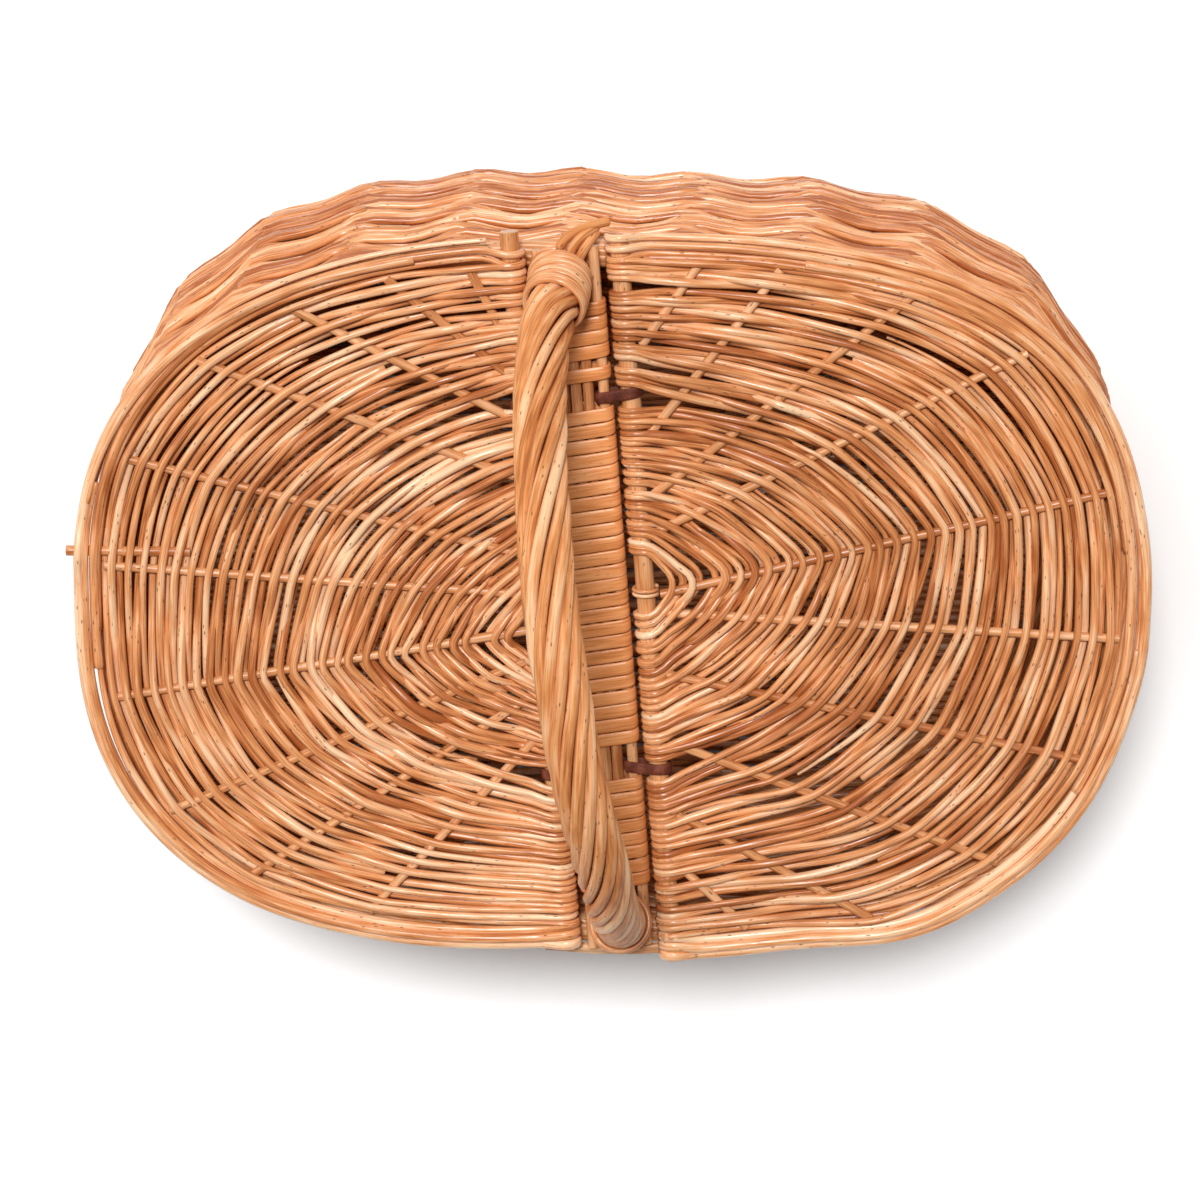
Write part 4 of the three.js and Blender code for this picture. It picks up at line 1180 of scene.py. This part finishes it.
cut_stick("left_lid_pull", (tab_low.x * 1000, tab_y, LID_PLANE + TAB_LEVEL),
          (tab_high.x * 1000, tab_y, LID_PLANE + TAB_LEVEL + TAB_RISE), TAB_STICK, stick_willow,
          "left_lid", "willow", "left_lid_tab")

# %% [markdown]
# ## The leather straps
#
# Each strap is a narrow band of dark leather, closed round the outer stick of the bridge and the
# hinge stick of the lid. It pulls in at its waist between the two. A thin plate with soft edges is
# swept round both sticks.

# %% The leather straps
STRAP_WIDTH = 4.8
STRAP_THICK = 1.44
STRAPS = (("back", STRAP_BACK, 0.16), ("front", STRAP_FRONT, -0.07))


def leather(name):
    """Dark tanned leather: fine grain, soft shine and paler worn patches."""
    material = new_material(name)
    place = add_node(material, "ShaderNodeTexCoord").outputs["Object"]
    grain = add_node(material, "ShaderNodeTexVoronoi", {"Scale": 1900.0}, {"Vector": place})
    patches = add_node(material, "ShaderNodeTexNoise", {"Scale": 220.0, "Detail": 3.0},
                       {"Vector": place})
    body = colour_ramp(material, patches.outputs["Fac"],
                       [(0.3, "#4C2012"), (0.52, "#6E3422"), (0.72, "#8C4E38")])
    return show_with_relief(material, {"IOR": 1.48, "Roughness": 0.55, "Specular IOR Level": 0.3},
                            {"Base Color": body}, grain.outputs["Distance"], 0.5, 0.0002)


strap_leather = leather("dark_tanned_leather")


def strap_band(side, place, lean):
    """A closed band round the two sticks, as a swept flat rod whose ends overlap."""
    near, far = np.array([SIDE_PLACE, BRIDGE_PLANE]), np.array([HINGE_PLACE, LID_PLANE])
    small, large = BRIDGE_STICK / 2 + 0.95, HINGE_STICK / 2 + 0.75
    apart = far - near
    base = math.atan2(apart[1], apart[0])
    opening = math.acos((small - large) / np.hypot(*apart))
    points = []
    for middle, reach, first, last, count in (
            (near, small, base + opening, base + 2 * math.pi - opening, 14),
            (far, large, base - opening, base + opening, 18)):
        for angle in np.linspace(first, last, count):
            points.append(middle + reach * np.array([math.cos(angle), math.sin(angle)]))
    points = np.array(points + points[:2])
    along = place + lean * (points[:, 0] - 17)
    flat, _ = spaced(np.stack([points[:, 0], along, points[:, 1]], 1), 0.9)
    way = np.gradient(flat[:, [0, 2]], axis=0)
    path = from_bridge(side * flat[:, 0], flat[:, 1], flat[:, 2])
    facing = bridge_way(side * way[:, 1], -way[:, 0])
    return rod(path, STRAP_WIDTH / 2, 16, facing, STRAP_THICK / 2, 0.55)


for lid, side in SIDES.items():
    for name, place, lean in STRAPS:
        strap = strap_band(side, place, lean * side)
        make_piece(f"{lid}_leather_tie_{name}", [strap], strap_leather, "basket", "leather",
                   f"{lid}_strap_{name}")

# %% [markdown]
# ## The roped handle
#
# Ten rods are pushed in at the feet and wound round the bow in long slanting turns, side by side,
# so that no bow shows. They tighten and curl at the feet. Each one is a rod swept along a steep
# screw line round the handle's middle line.

# %% The roped handle
HANDLE_SPAN = 288.0
HANDLE_RISE = 156.0
HANDLE_BOTTOM = 176
ARCH_ROUNDNESS = 2.5
ARCH_LEAN = (8.6, 6.3)
STRANDS = 10
STRAND_LAY = 195.0
STRAND_REACH = 8.25
STRAND_RADIUS = 2.64
FRONT_CURL = (1.9, 46)
BACK_CURL = (0.9, 40)
ARCH_BENDS = ((2.8, 0.34, 0.15), (-1.7, 1.42, 0.25), (1.6, 2.0, 0.25))


def arch_line(angle):
    """The handle's middle line in the bridge's frame, from its back foot to its front foot."""
    c, s = np.cos(angle), np.sin(angle)
    u = -(ARCH_LEAN[0] * s + ARCH_LEAN[1] * np.sin(2 * angle))
    u = u + sum(by * np.exp(-((angle - at) / wide) ** 2) for by, at, wide in ARCH_BENDS)
    v = HANDLE_SPAN / 2 * np.sign(c) * np.abs(c) ** (2 / ARCH_ROUNDNESS)
    return np.stack([u, v, HANDLE_BOTTOM + HANDLE_RISE * (1 - c * c)], -1)


first_angle = math.asin(math.sqrt(1.2 / HANDLE_RISE))
arch, arch_run = spaced(arch_line(np.linspace(first_angle, math.pi - first_angle, 1500)), 3.0)
arch_world = from_bridge(arch[:, 0], arch[:, 1], arch[:, 2])
along, above, aside = path_frames(arch_world, (0, 1, 0))
arch_length = arch_run[-1]
front_curl = FRONT_CURL[0] * smooth_step(arch_run, arch_length - FRONT_CURL[1], arch_length)
back_curl = BACK_CURL[0] * smooth_step(-arch_run, -BACK_CURL[1], 0)
screw = 2 * np.pi * arch_run / STRAND_LAY + front_curl - back_curl
strands = []
for number in range(STRANDS):
    wobble = np.interp(arch_run, np.linspace(0, arch_length, 9), dice.normal(0, 0.035, 9))
    angle = 2 * np.pi * number / STRANDS + screw + wobble
    reach = STRAND_REACH + 0.4 * dice.random()
    outward = above * np.cos(angle)[:, None] + aside * np.sin(angle)[:, None]
    share = arch_run / arch_length
    thickness = STRAND_RADIUS * (1 - 0.16 * np.abs(share - 0.5 + 0.2 * dice.normal()))
    strands.append(rod(arch_world + outward * reach, thickness, 10, outward[0], thickness * 0.95))
make_piece("roped_handle", strands, handle_willow, "basket", "roped_willow", "handle_roping")

# %% [markdown]
# ## The windings at the handle's feet
#
# A thin rod is wound round each foot to hold the roping. Eight or nine turns at the back foot make
# a close cap, and a little over two turns go round the front foot.

# %% The windings at the handle's feet
TURN_STEPS = 28


def foot_winding(name, turns, is_back, lift, pitch, radius, reach, node):
    """A thin rod wound round one foot of the handle."""
    steps = np.arange(int(turns * TURN_STEPS) + 1)
    angle = 2 * np.pi * steps / TURN_STEPS
    run = lift + pitch * steps / TURN_STEPS - (1.2 * np.sin(angle) if is_back else 0)
    run = np.maximum(run, 0) if is_back else arch_length - run
    centre, up, side = (np.stack([np.interp(run, arch_run, line[:, i]) for i in range(3)], 1)
                        for line in (arch_world, above, aside))
    outward = up * np.cos(angle)[:, None] + side * np.sin(angle)[:, None]
    winding = [rod(centre + outward * reach, radius, 8, outward[0])]
    make_piece(name, winding, rod_willow, "basket", "roped_willow", node)


foot_winding("back_foot_winding", 8.6, True, 3.2, 2.75, 1.34, 12.2, "handle_winding_back")
foot_winding("front_foot_winding", 2.2, False, 9.0, 2.9, 1.3, 12.3, "handle_winding_front")

# %% [markdown]
# ## The rod ends behind the handle
#
# At the back foot the butt ends of a few roping rods come out under the winding. They lie over the
# border, bend round to the right and are pushed down between the border's rods.

# %% The rod ends behind the handle
FOOT_ENDS = [
    [(-4.5, 147, -4.0), (-2.4, 154, -1.6), (2.2, 158.8, -0.8), (9.5, 161.6, -2.2), (18.5, 162, -6)],
    [(0.5, 147, -3.0), (2.8, 153.2, -0.8), (6.6, 157.4, 0), (11, 159.4, -2.0), (13.2, 159.8, -5.6)],
    [(4.0, 145, -2.6), (6.2, 150, -0.2), (9, 154, 0.4), (11.6, 156.6, -1.6), (13, 157.4, -5)],
]
FOOT_END_RADIUS = 2.0
EASING_ROUNDS = 60
foot_ends = []
for places in FOOT_ENDS:
    corners = np.array(places)
    steps = np.linspace(0, len(corners) - 1, 60)
    bent = np.stack([np.interp(steps, range(len(corners)), corners[:, i]) for i in range(3)], 1)
    for _ in range(EASING_ROUNDS):
        bent[1:-1] = (bent[1:-1] * 2 + bent[2:] + bent[:-2]) / 4
    bent = from_bridge(bent[:, 0], bent[:, 1], LID_PLANE + bent[:, 2])
    foot_ends.append(rod(bent, FOOT_END_RADIUS, 10))
make_piece("rod_ends_behind_handle", foot_ends, handle_willow, "basket", "roped_willow")

# %% [markdown]
# ## The nodes that stay
#
# The base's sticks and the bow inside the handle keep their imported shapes. Their willow reads
# the place on the object itself, because they have no rod of their own to follow.

# %% The nodes that stay
STREAKS_ACROSS = 1250.0
STREAKS_ALONG = 45.0


def plain_willow(name, along):
    """Willow for a straight CAD stick, with its streaks along one axis."""
    material = new_material(name)
    place = add_node(material, "ShaderNodeTexCoord").outputs["Object"]
    scale = [STREAKS_ACROSS] * 3
    scale["XYZ".index(along)] = STREAKS_ALONG
    mapped = add_node(material, "ShaderNodeMapping", {"Scale": scale}, {"Vector": place})
    streaks = add_node(material, "ShaderNodeTexNoise", {"Scale": 1.0, "Detail": 3.0},
                       {"Vector": mapped.outputs["Vector"]}).outputs["Fac"]
    body = colour_ramp(material, streaks, [(0.3, "#B36A3A"), (0.5, "#D8955E"), (0.7, "#ECB686")])
    return show_with_relief(material, {"IOR": 1.47, "Roughness": 0.45}, {"Base Color": body},
                            streaks, 0.5, 0.0002)


willow_along = {axis: plain_willow(f"buff_willow_along_{axis.lower()}", axis) for axis in "XY"}
for name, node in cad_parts.items():
    if not node.hide_render:
        axis = "X" if "long_stick" in name else "Y"
        node.data.materials.clear()
        node.data.materials.append(willow_along[axis])
        print("kept:", name)
